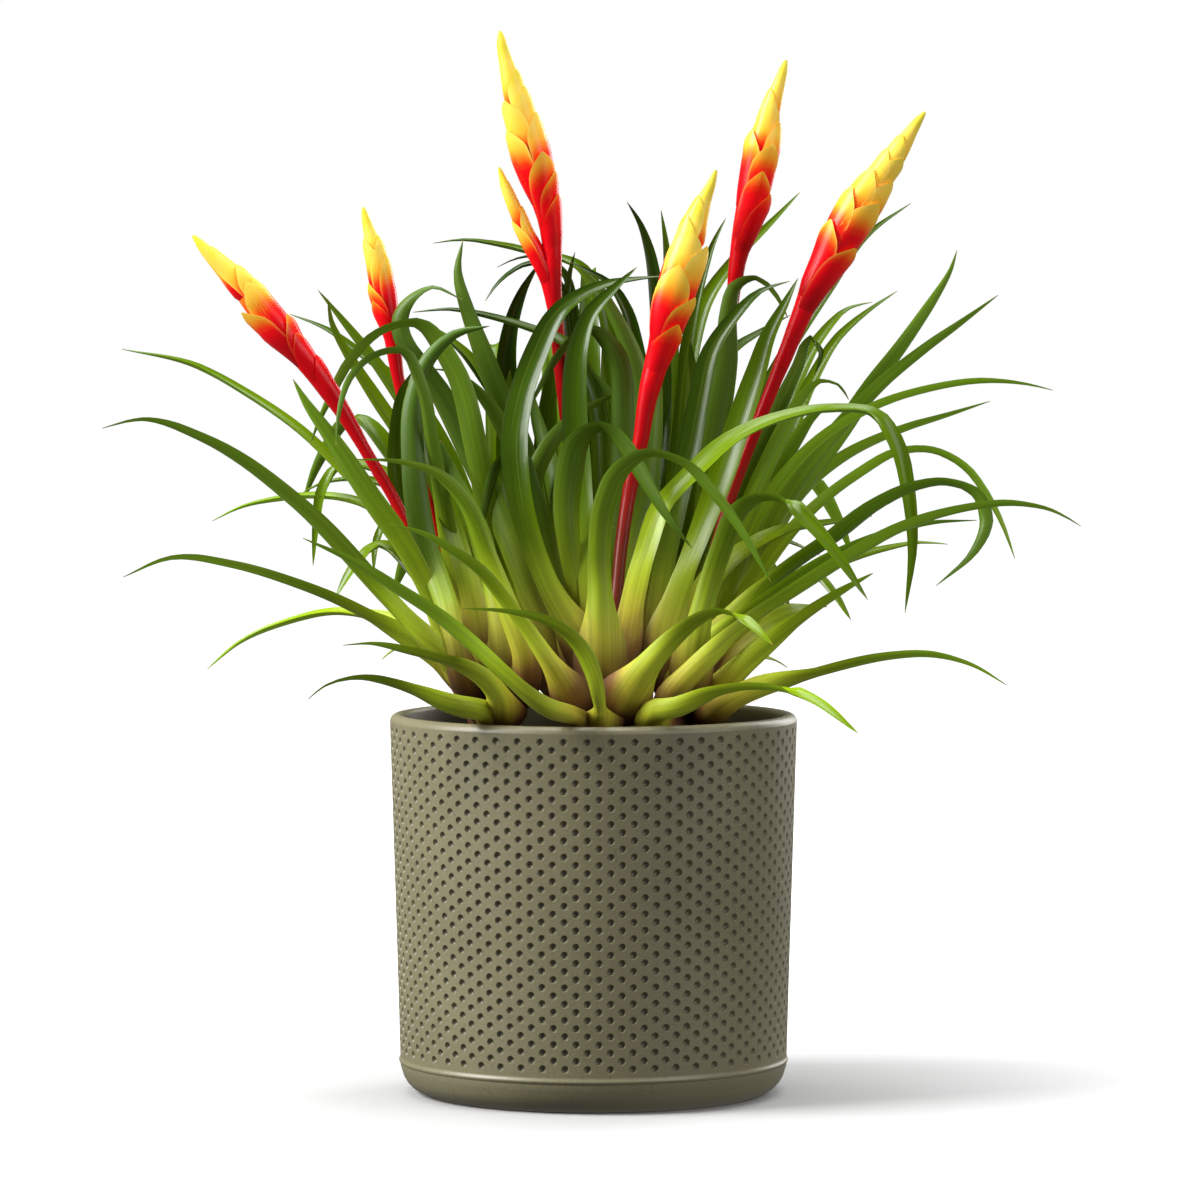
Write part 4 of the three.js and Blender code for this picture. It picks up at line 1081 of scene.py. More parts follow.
# %% Leaves and hearts
HEART_RADII = [(0, 8.6), (0.6, 7.4), (0.85, 5.6), (1, 3.6)]
HEART_FOLDS = 5
HEART_FOLD = 0.07
HEART_TWIST = 0.04
HEART_IN_SOIL = 22.0
HEART_FOOT = 112.3
HEART_TOP = 172.0
HEART_RINGS = 14
HEART_SIDES = 20
HEART_LOOK = (0.5, 0.4)
AS_LONG_A_LEAF = 250.0
leaf_draws = np.random.default_rng(7)
spike_of = {row[0]: name for name, row in SPIKES.items()}


def add_leaf(shape, run, width, sheath, dark):
    points, where, across, whole = leaf_rings(run, width, sheath)
    rings, sides = points.shape[:2]
    under = [float(s >= len(UPPER) - 1) for _ in range(rings - 1) for s in range(sides)]
    look = (leaf_draws.random(), dark, leaf_draws.random())
    values = {"leaf_place": rows_of(where[:, None], across, whole), "leaf_look": look}
    shape.add(points, tube_faces(rings, sides), values, under + [0.0, 0.0])


def spike_frame(run, lengths, where):
    """Places along a spike's line with its directions along, to the side and to the back."""
    along = direction_along(run, lengths, where)
    side = unit(np.array([1.0, 0, 0]) - along * along[..., :1])
    return read_along(run, lengths, where), along, side, np.cross(along, side)


def add_heart(shape, plant):
    """The sheath round a spike's foot, from the soil up between the leaves."""
    run = SPIKE_RUNS[spike_of[plant]]
    foot = np.array([[*PLANTS[plant], HEART_FOOT]])
    run = np.vstack([foot, run[run[:, 2] < HEART_TOP]])
    lengths = lengths_along(run)
    where = np.linspace(0, lengths[-1], HEART_RINGS)
    middle, _, side, back = spike_frame(run, lengths, where)
    angle = np.linspace(0, 2 * np.pi, HEART_SIDES, endpoint=False)
    fold = HEART_FOLD * np.cos(HEART_FOLDS * angle + where[:, None] * HEART_TWIST)
    radius = knots_at(HEART_RADII, where / where[-1])[:, None] * (1 + fold)
    points = ring_points(middle, side, back, angle, radius)
    above_soil = np.maximum(0, where - HEART_IN_SOIL)[:, None] * 0.6
    values = {
        "leaf_place": rows_of(above_soil, angle * 4, AS_LONG_A_LEAF),
        "leaf_look": (*HEART_LOOK, leaf_draws.random()),
    }
    shape.add(points, tube_faces(HEART_RINGS, HEART_SIDES), values)


print("a heart is", round(HEART_TOP - HEART_FOOT, 1), "mm tall")

# %% [markdown]
# A rosette is one mesh of all its leaves and its heart. One object for each leaf would be a
# hundred objects with nothing gained. Leaves that reach far out are coloured lighter and those
# that stand upright in the middle darker, as painted light and shade, with a little chance for
# each leaf's own tone. A few that lie in the shade of the others are coloured darkest, as
# painted shade.

# %% Rosettes
# Painted shade: these leaves lie in the shade of others and are coloured darkest.
SHADED_LEAVES = {"back_centre": {13, 14, 15, 18, 19, 20}}
SHADED = 0.9
LIGHTEST = 0.1
DARKEST = 0.95


def shade_and_tone(run):
    """How dark a leaf is coloured: less the further it reaches out, as painted light and shade, and a
    little by chance for its own tone.
    """
    reach = np.linalg.norm((run[-1] - run[0])[:2]) / lengths_along(run)[-1]
    # Painted light and shade: the further a leaf reaches out, the lighter it is coloured; the chance part
    # is its own tone.
    dark = 1.0 - 1.05 * reach + 0.35 * (leaf_draws.random() - 0.5)
    return float(np.clip(dark, LIGHTEST, DARKEST))


for plant in PLANTS:
    shape = Shape()
    add_heart(shape, plant)
    own = [one for one in leaf_runs if one[0] == plant]
    for i, (_, width, sheath, run) in enumerate(own):
        dark = shade_and_tone(run)
        add_leaf(shape, run, width, sheath, SHADED if i in SHADED_LEAVES.get(plant, ()) else dark)
    make_piece("leaves_" + plant, shape, LEAF, "rosette_" + plant)

# %% [markdown]
# ## The spike finish
# A bract is waxy and bright: red low on the head, then orange, and yellow towards the tip.
# One long ramp over the whole head would look painted on. Here each bract repeats the change
# on its own length, so that its tip is paler than its base, and its thin edges are the
# palest. The scape below is a glossy red, and two of the scapes turn a dull brown-red.

# %% Spike finish
def spike_finish():
    look = Finish("spike")
    head, share, edge = look.read("bloom_place")
    turn, dull, seed = look.read("bloom_look")
    cloud = look.noise(look.join(head * 3.0, edge * 0.8, seed * 31.0), 1.6, 2.0) - 0.5
    rim = abs(edge)
    value = 0.5 + (head - turn) * 0.9 + (share - 0.6) * 0.55 + cloud * 0.14 + rim ** 4 * 0.08
    colour = look.colours(value.clamped(), [
        (0.0, rgb(176, 0, 12)), (0.24, rgb(212, 0, 16)), (0.4, rgb(230, 6, 16)),
        (0.47, rgb(236, 52, 14)), (0.53, rgb(240, 110, 24)), (0.61, rgb(240, 168, 44)),
        (0.72, rgb(240, 194, 66)), (0.86, rgb(236, 204, 80)), (1.0, rgb(220, 200, 56)),
    ])
    pale = look.mix(rim.ramp(0.82, 1.0) * 0.25 * head.ramp(0.15, 0.5), colour, rgb(255, 214, 120))
    low = look.mix((1 - head.ramp(-0.9, -0.15)) * dull, pale, rgb(96, 44, 30))
    veins = look.noise(look.join(edge * 3.0, share * 1.5, seed * 17.0), 1.0, 1.0)
    rough = 0.22 + veins * 0.16
    normal = look.bump(veins, 0.0001, 0.3)
    return look.done(Base_Color=low, Roughness=rough, Normal=normal, Specular_IOR_Level=0.2)


SPIKE = spike_finish()

# %% [markdown]
# ## Flower spikes
# A head is a spindle of overlapping bracts. They could be spread by a spiral rule, but then
# none of them would stand where it does on this plant. Those that face the viewer are given
# by their tips in the picture, and each tip tells how far along the spike it lies and round
# which side it turns. The far side gets a bract opposite each of them.

# %% Tips of the bracts that face the viewer
BRACT_TIPS = {
    "spike_left": "193,236 212,250 237,265 243,280 251,277 241,308 287,311 295,334 313,351",
    "spike_back_left": "363,207 380,237 363,241 378,249 386,252 369,278 374,298",
    "spike_tall": "500,32 515,67 528,89 505,98 534,110 508,134 542,155 555,168 559,195",
    "spike_centre": "716,171 700,194 689,211 693,224 707,247 678,271 692,301 676,327",
    "spike_back_right": "786,61 768,92 771,102 752,128 781,128 771,147 761,176 772,192",
    "spike_right": "924,113 903,134 884,151 900,161 876,166 853,184 892,186 876,204 834,217 853,249",
    "side_branch": "499,168 521,205 511,221",
}
TURN_TO_YELLOW = {
    "spike_left": 0.56, "spike_back_left": 0.5, "spike_tall": 0.47, "spike_centre": 0.43,
    "spike_back_right": 0.58, "spike_right": 0.58, "side_branch": 0.48,
}
MOST_ASIDE = 0.82


def tip_places(row, run, text):
    """Distances along a spike and angles round it of tips given in the picture."""
    seen = picture_point(run)
    lengths = lengths_along(run)
    whole = lengths[-1]
    along = unit(np.gradient(seen, axis=0))
    found = []
    for tip in points_of(text):
        nearest = int(np.argmin(np.linalg.norm(seen - tip, axis=1)))
        off = tip - seen[nearest]
        aside = (off[0] * -along[nearest][1] + off[1] * along[nearest][0]) * PIXEL
        radius = spike_half(row, whole - lengths[nearest])
        aside = np.clip(aside / radius, -MOST_ASIDE, MOST_ASIDE)
        found.append((lengths[nearest], float(np.arcsin(aside))))
    return found


print(sum(len(points_of(text)) for text in BRACT_TIPS.values()), "tips face the viewer")

# %% [markdown]
# A bract is shaped like a boat that wraps round the spindle. Its foot lies deep in the
# spindle and its tip on the outside, so that each one covers the feet of those above. A flat
# petal bent by a modifier would cut through its neighbours. All of these wrap round the same
# middle line instead, so that they lie over each other like roof tiles.

# %% One bract
BRACT_LONG = 38.0
TIP_FLARE = 0.9
BRACT_WIDE = 17.0
BRACT_WRAP = 1.6
BRACT_BREADTH = [
    (0, 0.7), (0.25, 0.95), (0.6, 1), (0.74, 0.92), (0.83, 0.72), (0.9, 0.47), (0.96, 0.22),
    (1, 0.05),
]
BRACT_KEEL = [(0, 0.5), (0.12, 0.78), (0.3, 0.87), (0.6, 0.95), (1, 1)]
FLARES_FROM = 0.7
FULL_FLARE_RADIUS = 6.0
BRACT_THICK = 0.9
EDGE_THICK = 0.12
LEAST_RADIUS = 0.4
LEAST_OUT = 0.2
BRACT_LAYERS = np.array([0, 0.15, 0.3, 0.42, 0.53, 0.62, 0.7, 0.77, 0.83, 0.88, 0.92, 0.96, 1])
BRACT_UPPER = np.linspace(-1, 1, 11)
BRACT_UNDER = np.linspace(1, -1, 9)[1:-1]


def add_bract(shape, row, run, tip_at, angle, long, wide, look, flare=TIP_FLARE, tuck=1.0):
    """One boat-shaped bract with its tip at a distance along the spike."""
    lengths = lengths_along(run)
    whole = lengths[-1]
    share = BRACT_LAYERS
    where = tip_at - long * (1 - share)
    middle, along, side, back = spike_frame(run, lengths, np.clip(where, 0, whole))
    middle += along * np.maximum(0, where - whole)[:, None]
    outward = side * np.sin(angle) - back * np.cos(angle)
    over = np.cross(along, outward)
    radius = np.maximum(LEAST_RADIUS, spike_half(row, np.maximum(0, whole - where)))
    breadth = knots_at(BRACT_BREADTH, share)
    flaring = np.maximum(0, share - FLARES_FROM) / (1 - FLARES_FROM)
    keel = radius * knots_at(BRACT_KEEL, share) * tuck
    keel += flare * flaring * np.minimum(1, radius / FULL_FLARE_RADIUS)
    v = np.concatenate([BRACT_UPPER, BRACT_UNDER])
    wrap = np.minimum(wide / 2 * breadth / radius, BRACT_WRAP)[:, None] * v
    thick = np.where(np.arange(len(v)) < len(BRACT_UPPER), 0.0, BRACT_THICK * (1 - v**2) + EDGE_THICK)
    out = np.maximum(keel[:, None] - thick * np.minimum(1, breadth[:, None] * 2), LEAST_OUT)
    off, height = out * np.sin(wrap), out * np.cos(wrap)
    points = middle[:, None] + over[:, None] * off[..., None] + outward[:, None] * height[..., None]
    head = (where - (whole - row[2])) / row[2]
    values = {"bloom_place": rows_of(head[:, None], share[:, None], v), "bloom_look": look}
    shape.add(points, tube_faces(len(share), len(v)), values)


print("a bract has", len(BRACT_LAYERS), "rings of", len(BRACT_UPPER) + len(BRACT_UNDER), "points")

# %% [markdown]
# The scape runs up the middle of the head as its core, thinner there than the bracts round
# it. Below the head, narrow sheath bracts lie round the scape one above the other, each
# turned on from the last, as they do on the plant.

# %% Scape and sheaths
SCAPE_SIDES = 14
SCAPE_RINGS = 60
SCAPE_ENDS_BELOW = 12.0
CORE_AT_TIP = 0.6
CORE_IN_HEAD = 0.8
SCAPE_SHARE = 0.6
SHEATH_LONG = 34.0
SHEATH_EVERY = 21.0
SHEATH_TURN = 2.4
SHEATH_WIDE = 1.5
SHEATH_FLARE = 0.5
FIRST_SHEATH_IN_HEAD = 6.0
LAST_SHEATH_OVER_FOOT = 20.0
bract_draws = np.random.default_rng(11)


def add_scape(shape, row, run, look):
    lengths = lengths_along(run)
    whole = lengths[-1]
    where = np.linspace(0, whole - SCAPE_ENDS_BELOW, SCAPE_RINGS)
    middle, _, side, back = spike_frame(run, lengths, where)
    below = whole - where
    core = [(SCAPE_ENDS_BELOW, CORE_AT_TIP), (row[2] * 0.8, CORE_IN_HEAD), (row[2], 1)]
    radius = spike_half(row, below) * knots_at(core, below)
    angle = np.linspace(0, 2 * np.pi, SCAPE_SIDES, endpoint=False)
    points = ring_points(middle, side, back, angle, radius[:, None])
    head = ((where - (whole - row[2])) / row[2])[:, None]
    values = {"bloom_place": rows_of(head, SCAPE_SHARE, np.sin(angle) * 0.6), "bloom_look": look}
    shape.add(points, tube_faces(SCAPE_RINGS, SCAPE_SIDES), values)


def add_sheaths(shape, row, run, turn, dull):
    """Narrow bracts down the scape from just inside the head; gives how many there are."""
    whole = lengths_along(run)[-1]
    neck = whole - row[2]
    scape = 2 * spike_half(row, whole)
    count = int((neck - LAST_SHEATH_OVER_FOOT) / SHEATH_EVERY)
    for k in range(count):
        tip_at = neck + FIRST_SHEATH_IN_HEAD - k * SHEATH_EVERY
        look = (turn, dull, bract_draws.random())
        add_bract(shape, row, run, tip_at, k * SHEATH_TURN, SHEATH_LONG, scape * SHEATH_WIDE,
                  look, SHEATH_FLARE)
    return max(0, count)


print("a scape has", SCAPE_RINGS, "rings of", SCAPE_SIDES, "points")

# %% [markdown]
# A whole spike is its scape, its sheath bracts and its head. In the head each bract that
# faces the viewer has a twin on the far side, a little lower and tucked in closer, so that
# the two never show their edges at the same place.

# %% Whole spikes
USUAL_WIDEST = 18.0
TWIN_LOWER = 1.5
TWIN_FLARE = 0.3
TWIN_TUCK = 0.93
TWIN_TURN = 0.4
BRIGHT_SCAPE = 0.15
DULL_SCAPES = {"spike_right": 0.9, "spike_centre": 0.9}


def add_head(shape, row, run, name, turn, dull):
    """A bract for each tip that faces the viewer and a twin opposite to it."""
    neck = lengths_along(run)[-1] - row[2]
    widest = 2 * spike_half(row, np.arange(row[2])).max()
    wide = BRACT_WIDE * (widest / USUAL_WIDEST) ** 0.7
    for tip_at, angle in tip_places(row, run, BRACT_TIPS[name]):
        long = BRACT_LONG * (1.02 - 0.12 * (tip_at - neck) / row[2])
        look = (turn, dull, bract_draws.random())
        add_bract(shape, row, run, tip_at, angle, long, wide, look)
        look = (turn, dull, bract_draws.random())
        add_bract(shape, row, run, tip_at - TWIN_LOWER, np.pi - angle * TWIN_TURN, long, wide,
                  look, TWIN_FLARE, TWIN_TUCK)


def add_spike(shape, row, run, name, dull):
    turn = TURN_TO_YELLOW[name]
    add_scape(shape, row, run, (turn, dull, bract_draws.random()))
    sheaths = add_sheaths(shape, row, run, turn, dull)
    add_head(shape, row, run, name, turn, dull)
    print(name, "has", sheaths, "sheath bracts")


for name, row in SPIKES.items():
    shape = Shape()
    add_spike(shape, row, SPIKE_RUNS[name], name, DULL_SCAPES.get(name, BRIGHT_SCAPE))
    if row[0] == SIDE_BRANCH[0]:
        add_spike(shape, SIDE_BRANCH, BRANCH_RUN, "side_branch", 0.0)
    make_piece("bloom_" + name, shape, SPIKE, name)

# %% [markdown]
# ## The pot
# The pot is a thick ceramic cylinder, a little narrower at its foot. Small round dimples
# cover its wall in staggered columns, between a smooth foot band and the lip. A bump texture
# could fake them, but their rims catch the light and their floors lie in shade, so every
# dimple is real geometry: the wall is laid from small tiles, and each tile has a dimple at
# its middle and eight points on its border that its neighbours share.

# %% Sizes of the pot
FOOT_RADIUS = 75.6
WIDENING = POT_RIM - FOOT_RADIUS
WALL = 5.6
FLOOR = 8.0
FOOT_ROUNDING = 11.0
BAND_TOP = 13.0
BEAD = 0.6
LIP_RADIUS = 2.8
DIMPLE_COLUMNS = 110
DIMPLE_STEP = 6.17
DIMPLE_RADIUS = 1.6
DIMPLE_DEPTH = 1.25
FIRST_DIMPLE_FOOT = 14.6
TOP_OF_TILES = POT_HEIGHT - LIP_RADIUS


def wall_radius(z):
    return FOOT_RADIUS + WIDENING * z / POT_HEIGHT


print("the pot is", POT_HEIGHT, "mm high and", 2 * wall_radius(POT_HEIGHT), "mm across its rim")

# %% [markdown]
# A tile is a square with a ring of points round the dimple's rim, two rings inside it and one
# point at its bottom. Rim and border have different counts of points, so a small helper
# stitches them with triangles by their angle.

# %% Pattern of a tile
RIM = 10
BORDER = 8
DIMPLE_RINGS = ((1.0, 0.0), (0.8, 0.45), (0.45, 0.9))
RIM_ANGLE = np.radians(225) + 2 * np.pi * np.arange(RIM) / RIM


def tile_border(low, high):
    """Border points of a tile as (across from -1 to 1, height), counter-clockwise."""
    middle = (low + high) / 2
    return [(-1, low), (0, low), (1, low), (1, middle), (1, high), (0, high), (-1, high), (-1, middle)]


def stitch_rings(inner, outer):
    """Triangles between two closed rings of different counts, by their angle round the middle."""
    faces = []
    i = j = 0
    count_in, count_out = len(inner), len(outer)
    while i < count_in or j < count_out:
        if j >= count_out or (i < count_in and (i + 0.5) / count_in < (j + 0.5) / count_out):
            faces.append((inner[i % count_in], outer[j % count_out], inner[(i + 1) % count_in]))
            i += 1
        else:
            faces.append((outer[j % count_out], outer[(j + 1) % count_out], inner[i % count_in]))
            j += 1
    return faces


def tile_pattern():
    """Faces of a tile: border points first, then the dimple's rings, then its middle."""
    faces = stitch_rings([BORDER + k for k in range(RIM)], list(range(BORDER)))
    for ring in range(len(DIMPLE_RINGS) - 1):
        a, b = BORDER + ring * RIM, BORDER + (ring + 1) * RIM
        faces += [(a + k, a + (k + 1) % RIM, b + (k + 1) % RIM, b + k) for k in range(RIM)]
    last = BORDER + (len(DIMPLE_RINGS) - 1) * RIM
    middle = last + RIM
    faces += [(last + k, last + (k + 1) % RIM, middle) for k in range(RIM)]
    return faces


TILE_FACES = tile_pattern()
print("a tile has", len(TILE_FACES), "faces")

# %% [markdown]
# The tiles go round the wall in columns, and every second column is half a tile lower or
# higher than its neighbours, which staggers the dimples. Flat half tiles fill its two ends.

# %% Tiles of the wall
def on_wall(across, z, sink, column):
    """Places on the pot's wall, sunk into it by a depth in mm."""
    angle = 2 * np.pi * (column + across / 2) / DIMPLE_COLUMNS
    radius = wall_radius(z) - sink
    return np.stack([radius * np.cos(angle), radius * np.sin(angle), z + 0 * angle], axis=-1)


def add_dimple(shape, column, low, step):
    """A tile of the wall with a dimple at its middle."""
    border = np.array(tile_border(low, low + step))
    middle = low + step / 2
    half_tile = np.pi * wall_radius(low) / DIMPLE_COLUMNS
    points = [on_wall(border[:, 0], border[:, 1], 0.0, column)]
    for size, sink in DIMPLE_RINGS:
        across = np.cos(RIM_ANGLE) * DIMPLE_RADIUS * size / half_tile
        z = middle + np.sin(RIM_ANGLE) * DIMPLE_RADIUS * size
        points.append(on_wall(across, z, sink * DIMPLE_DEPTH, column))
    points.append(on_wall(np.zeros(1), np.array([middle]), DIMPLE_DEPTH, column))
    pit = np.concatenate([np.zeros(BORDER), *(np.full(RIM, sink) for _, sink in DIMPLE_RINGS), [1]])
    shape.add(np.vstack(points), TILE_FACES, {"pot_place": rows_of(pit, 0, 0)})


def add_half_tile(shape, column, low, high):
    """A flat tile that fills a staggered column at its foot or its top."""
    corners = np.array([(-1, low), (0, low), (1, low), (1, high), (0, high), (-1, high)])
    faces = [(0, 1, 4, 5), (1, 2, 3, 4)]
    shape.add(on_wall(corners[:, 0], corners[:, 1], 0.0, column), faces, {"pot_place": (0, 0, 0)})


def add_tiles(shape):
    """Lays the wall and gives its number of dimples."""
    rows = int((TOP_OF_TILES - FIRST_DIMPLE_FOOT) / DIMPLE_STEP)
    step = (TOP_OF_TILES - FIRST_DIMPLE_FOOT) / rows
    dimples = 0
    for column in range(DIMPLE_COLUMNS):
        odd = column % 2
        lows = FIRST_DIMPLE_FOOT + step * (np.arange(rows - odd) + odd / 2)
        for low in lows:
            add_dimple(shape, column, low, step)
        if odd:
            add_half_tile(shape, column, FIRST_DIMPLE_FOOT, FIRST_DIMPLE_FOOT + step / 2)
            add_half_tile(shape, column, TOP_OF_TILES - step / 2, TOP_OF_TILES)
        dimples += len(lows)
    return dimples


pot_shape = Shape()
print(add_tiles(pot_shape), "dimples")

# %% [markdown]
# The rest of the pot is turned, as on a potter's wheel: a profile of radius and height goes
# round the axis. It has as many sides as the wall has border points, so that the parts meet
# point to point. A profile also says where the clay is bare and where the inside begins.

# %% Foot, band, lip and inside of the pot
LATHE_SIDES = DIMPLE_COLUMNS * 2
CENTRE = 0.01


def lip_profile():
    """Rows of radius, height, bare clay and inside, over the lip and down to the floor."""
    outer = wall_radius(TOP_OF_TILES) - LIP_RADIUS
    lip = [
        (outer + LIP_RADIUS * np.cos(a), TOP_OF_TILES + LIP_RADIUS * np.sin(a), 0, 0)
        for a in np.radians((0, 20, 45, 70, 90))
    ]
    inner = wall_radius(POT_HEIGHT) - WALL
    lip += [(inner + 1.4, POT_HEIGHT - 0.1, 0, 0.2), (inner + 0.4, POT_HEIGHT - 0.7, 0, 0.5)]
    lip += [(wall_radius(z) - WALL, z, 0, 1) for z in (POT_HEIGHT - 1.8, 140, 120, 80, 40, 12)]
    lip += [(wall_radius(8) - WALL - 5, FLOOR, 0, 1), (30, FLOOR, 0, 1), (CENTRE, FLOOR, 0, 1)]
    return lip


def foot_profile():
    """The same rows from the middle of the underside out and up to the first tiles."""
    under = [(CENTRE, 0.9, 1, 0), (62, 0.9, 1, 0), (64.4, 0, 1, 0), (66.6, 0.05, 1, 0)]
    arc = [
        (FOOT_RADIUS - FOOT_ROUNDING * (1 - np.sin(a)), FOOT_ROUNDING * (1 - np.cos(a)), 0, 0)
        for a in np.radians((14, 24, 38, 52, 66, 80))
    ]
    band = [(wall_radius(z) + out, z, 0, 0) for z, out in (
        (10.6, 0), (BAND_TOP - 1.1, 0), (BAND_TOP - 0.75, BEAD * 0.7), (BAND_TOP - 0.2, BEAD),
        (BAND_TOP + 0.4, BEAD * 0.8), (BAND_TOP + 0.8, 0.05), (FIRST_DIMPLE_FOOT, 0),
    )]
    return under + arc + band


def add_lathe(shape, profile):
    angle = np.pi * (2 * np.arange(LATHE_SIDES) - 1) / LATHE_SIDES
    rows = np.array(profile, float)
    radius, height, clay, inside = (rows[:, k:k + 1] for k in range(4))
    points = rows_of(radius * np.cos(angle), radius * np.sin(angle), height)
    values = {"pot_place": rows_of(0 * angle, clay, inside)}
    shape.add(points, tube_faces(len(rows), LATHE_SIDES, closed=False), values)


add_lathe(pot_shape, lip_profile())
add_lathe(pot_shape, foot_profile())
print("the pot has", pot_shape.count, "points before welding")

# %% [markdown]
# The glaze is a satin olive grey with a fine grain, a cloud of slightly lighter tone and a
# few dark flecks. A plain colour would look like plastic. The floor of each dimple is painted
# darker, as painted shade, and the underside is bare clay.

# %% Pot finish
def pot_finish():
    look = Finish("pot_glaze")
    pit, clay, inside = look.read("pot_place")
    spot = look.node("ShaderNodeTexCoord", output="Object")
    cloud = look.noise(spot, 18.0, 3.0)
    grain = look.noise(spot, 900.0, 2.0)
    fleck = look.noise(spot, 420.0, 1.0).ramp(0.62, 0.75)
    glaze = look.mix(cloud.ramp(0.3, 0.7), rgb(106, 102, 76), rgb(115, 110, 83))
    glaze = look.mix(grain.ramp(0.35, 0.65) * 0.25, glaze, rgb(130, 122, 95))
    glaze = look.mix(fleck * 0.25, glaze, rgb(82, 78, 56))
    # Painted shade: the floor of each dimple is coloured darker.
    glaze = look.mix(pit * 0.6, glaze, rgb(50, 47, 34))
    glaze = look.mix(inside * 0.5, glaze, rgb(70, 70, 54))
    finished = look.mix(clay * 0.9, glaze, rgb(92, 66, 48))
    rough = 0.34 + grain * 0.1 + cloud * 0.08 + clay * 0.3
    fine = look.bump(grain, 0.00012, 0.35)
    return look.done(Base_Color=finished, Roughness=rough, Normal=fine, Specular_IOR_Level=0.5)


pot = make_piece("pot_body", pot_shape, pot_finish(), "pot")

# %% [markdown]
# The tiles were laid one by one, so their shared border points lie double. Welding points
# that coincide makes one skin of the wall, and the shading runs smoothly over the seams.

# %% Weld the pot
import bmesh

WELD = 0.00002


def weld(piece):
    work = bmesh.new()
    work.from_mesh(piece.data)
    before = len(work.verts)
    bmesh.ops.remove_doubles(work, verts=work.verts, dist=WELD)
    bmesh.ops.recalc_face_normals(work, faces=work.faces)
    print(piece.name, "welded", before - len(work.verts), "double points")
    work.to_mesh(piece.data)
    work.free()


weld(pot)

# %% [markdown]
# ## The soil
# Bromeliads stand in loose bark and peat. Little of it shows between the leaves, but a flat
# disc would. Displacement makes lumps and no chips, so the soil is a lumpy surface with
# hundreds of small chips pressed into it, each a cut and squashed block turned at random.

# %% Ground
SOIL_GAP = 0.5
SOIL_SKIRT = 14.0
LUMP_HEIGHT = 0.8
GROUND_BELOW = 1.2
GRIT = 0.5
soil_draws = np.random.default_rng(5)


def add_ground(shape):
    edge = wall_radius(SOIL_TOP) - WALL - SOIL_GAP
    radii = np.concatenate([np.linspace(0.5, edge, 30), [edge, edge - 3]])
    angle = np.linspace(0, 2 * np.pi, 90, endpoint=False)
    x = radii[:, None] * np.cos(angle)
    y = radii[:, None] * np.sin(angle)
    lump = np.sin(x * 0.31 + 1) * np.cos(y * 0.27) + 0.5 * np.sin(x * 0.8 + y * 0.6)
    z = SOIL_TOP - GROUND_BELOW + lump * LUMP_HEIGHT + soil_draws.uniform(-GRIT, GRIT, x.shape)
    z[-1] = SOIL_TOP - SOIL_SKIRT
    z[0] = z[0].mean()
    shape.add(rows_of(x, y, z), tube_faces(len(radii), len(angle)), {"soil_look": (0.3, 0.5, 0)})


soil_shape = Shape()
add_ground(soil_shape)
print("the ground has", soil_shape.count, "points")

# %% [markdown]
# A chip is a cube with its corners moved by chance, squashed flat, tilted and turned. That is
# rough enough for bark of this size, and it takes only twelve triangles.

# %% Chips of bark
SOIL_CHIPS = 900
CHIP_SMALLEST = (1.0, 0.8, 0.4)
CHIP_LARGEST = (3.4, 2.0, 1.0)
CHIP_SUNK = 0.4
BLOCK = np.array([(x, y, z) for x in (-1, 1) for y in (-1, 1) for z in (-1, 1)], float)
BLOCK_FACES = [(0, 1, 3, 2), (4, 6, 7, 5), (0, 4, 5, 1), (2, 3, 7, 6), (0, 2, 6, 4), (1, 5, 7, 3)]


def add_chips(shape):
    edge = wall_radius(SOIL_TOP) - WALL - 4
    for _ in range(SOIL_CHIPS):
        out = edge * np.sqrt(soil_draws.random())
        turn = soil_draws.uniform(0, 2 * np.pi)
        size = soil_draws.uniform(CHIP_SMALLEST, CHIP_LARGEST) * soil_draws.uniform(0.5, 1.1)
        corners = BLOCK * size * soil_draws.uniform(0.7, 1.1, (8, 1))
        tilt, spin = soil_draws.uniform(-0.5, 0.5), soil_draws.uniform(0, 2 * np.pi)
        x = corners[:, 0] * np.cos(spin) - corners[:, 1] * np.sin(spin)
        y = corners[:, 0] * np.sin(spin) + corners[:, 1] * np.cos(spin)
        z = corners[:, 2] + x * np.tan(tilt)
        middle = np.array([out * np.cos(turn), out * np.sin(turn), SOIL_TOP - CHIP_SUNK])
        look = (soil_draws.random(), soil_draws.random(), 1)
        shape.add(rows_of(x, y, z) + middle, BLOCK_FACES, {"soil_look": look})


add_chips(soil_shape)
print(SOIL_CHIPS, "chips lie on it")

# %% [markdown]
# Damp bark is dark, rough and never of one colour. Each chip draws its own tone and warmth,
# and a crumb of fine noise darkens it and roughens its surface.

# %% Soil finish
def soil_finish():
    look = Finish("soil")
    tone, warm, _ = look.read("soil_look")
    spot = look.node("ShaderNodeTexCoord", output="Object")
    crumb = look.noise(spot, 500.0, 4.0, 0.7)
    colour = look.mix(tone, rgb(48, 34, 24), rgb(104, 76, 52))
    colour = look.mix(warm * 0.5, colour, rgb(84, 50, 30))
    colour = look.mix(crumb.ramp(0.3, 0.7) * 0.5, colour, rgb(30, 22, 16))
    return look.done(
        Base_Color=colour, Roughness=0.82 + crumb * 0.15,
        Normal=look.bump(crumb, 0.0008, 0.8), Specular_IOR_Level=0.3,
    )


soil = make_piece("soil_bark", soil_shape, soil_finish(), "soil")
soil.data.polygons.foreach_set("use_smooth", [False] * len(soil.data.polygons))

# %% [markdown]
# ## Floor and backdrop
# The plant stands on a plain pale floor in a bright studio. A white world would light the
# plant from all sides and wash it out. So floor and backdrop glow by themselves instead, and
# they are hidden from the rays that light the plant or mirror in it. Near the pot the floor
# doesn't glow, so that it can hold the shadow.

# %% Floor and backdrop finishes
GLOW_FROM = 0.09
FULL_GLOW_AT = 0.5


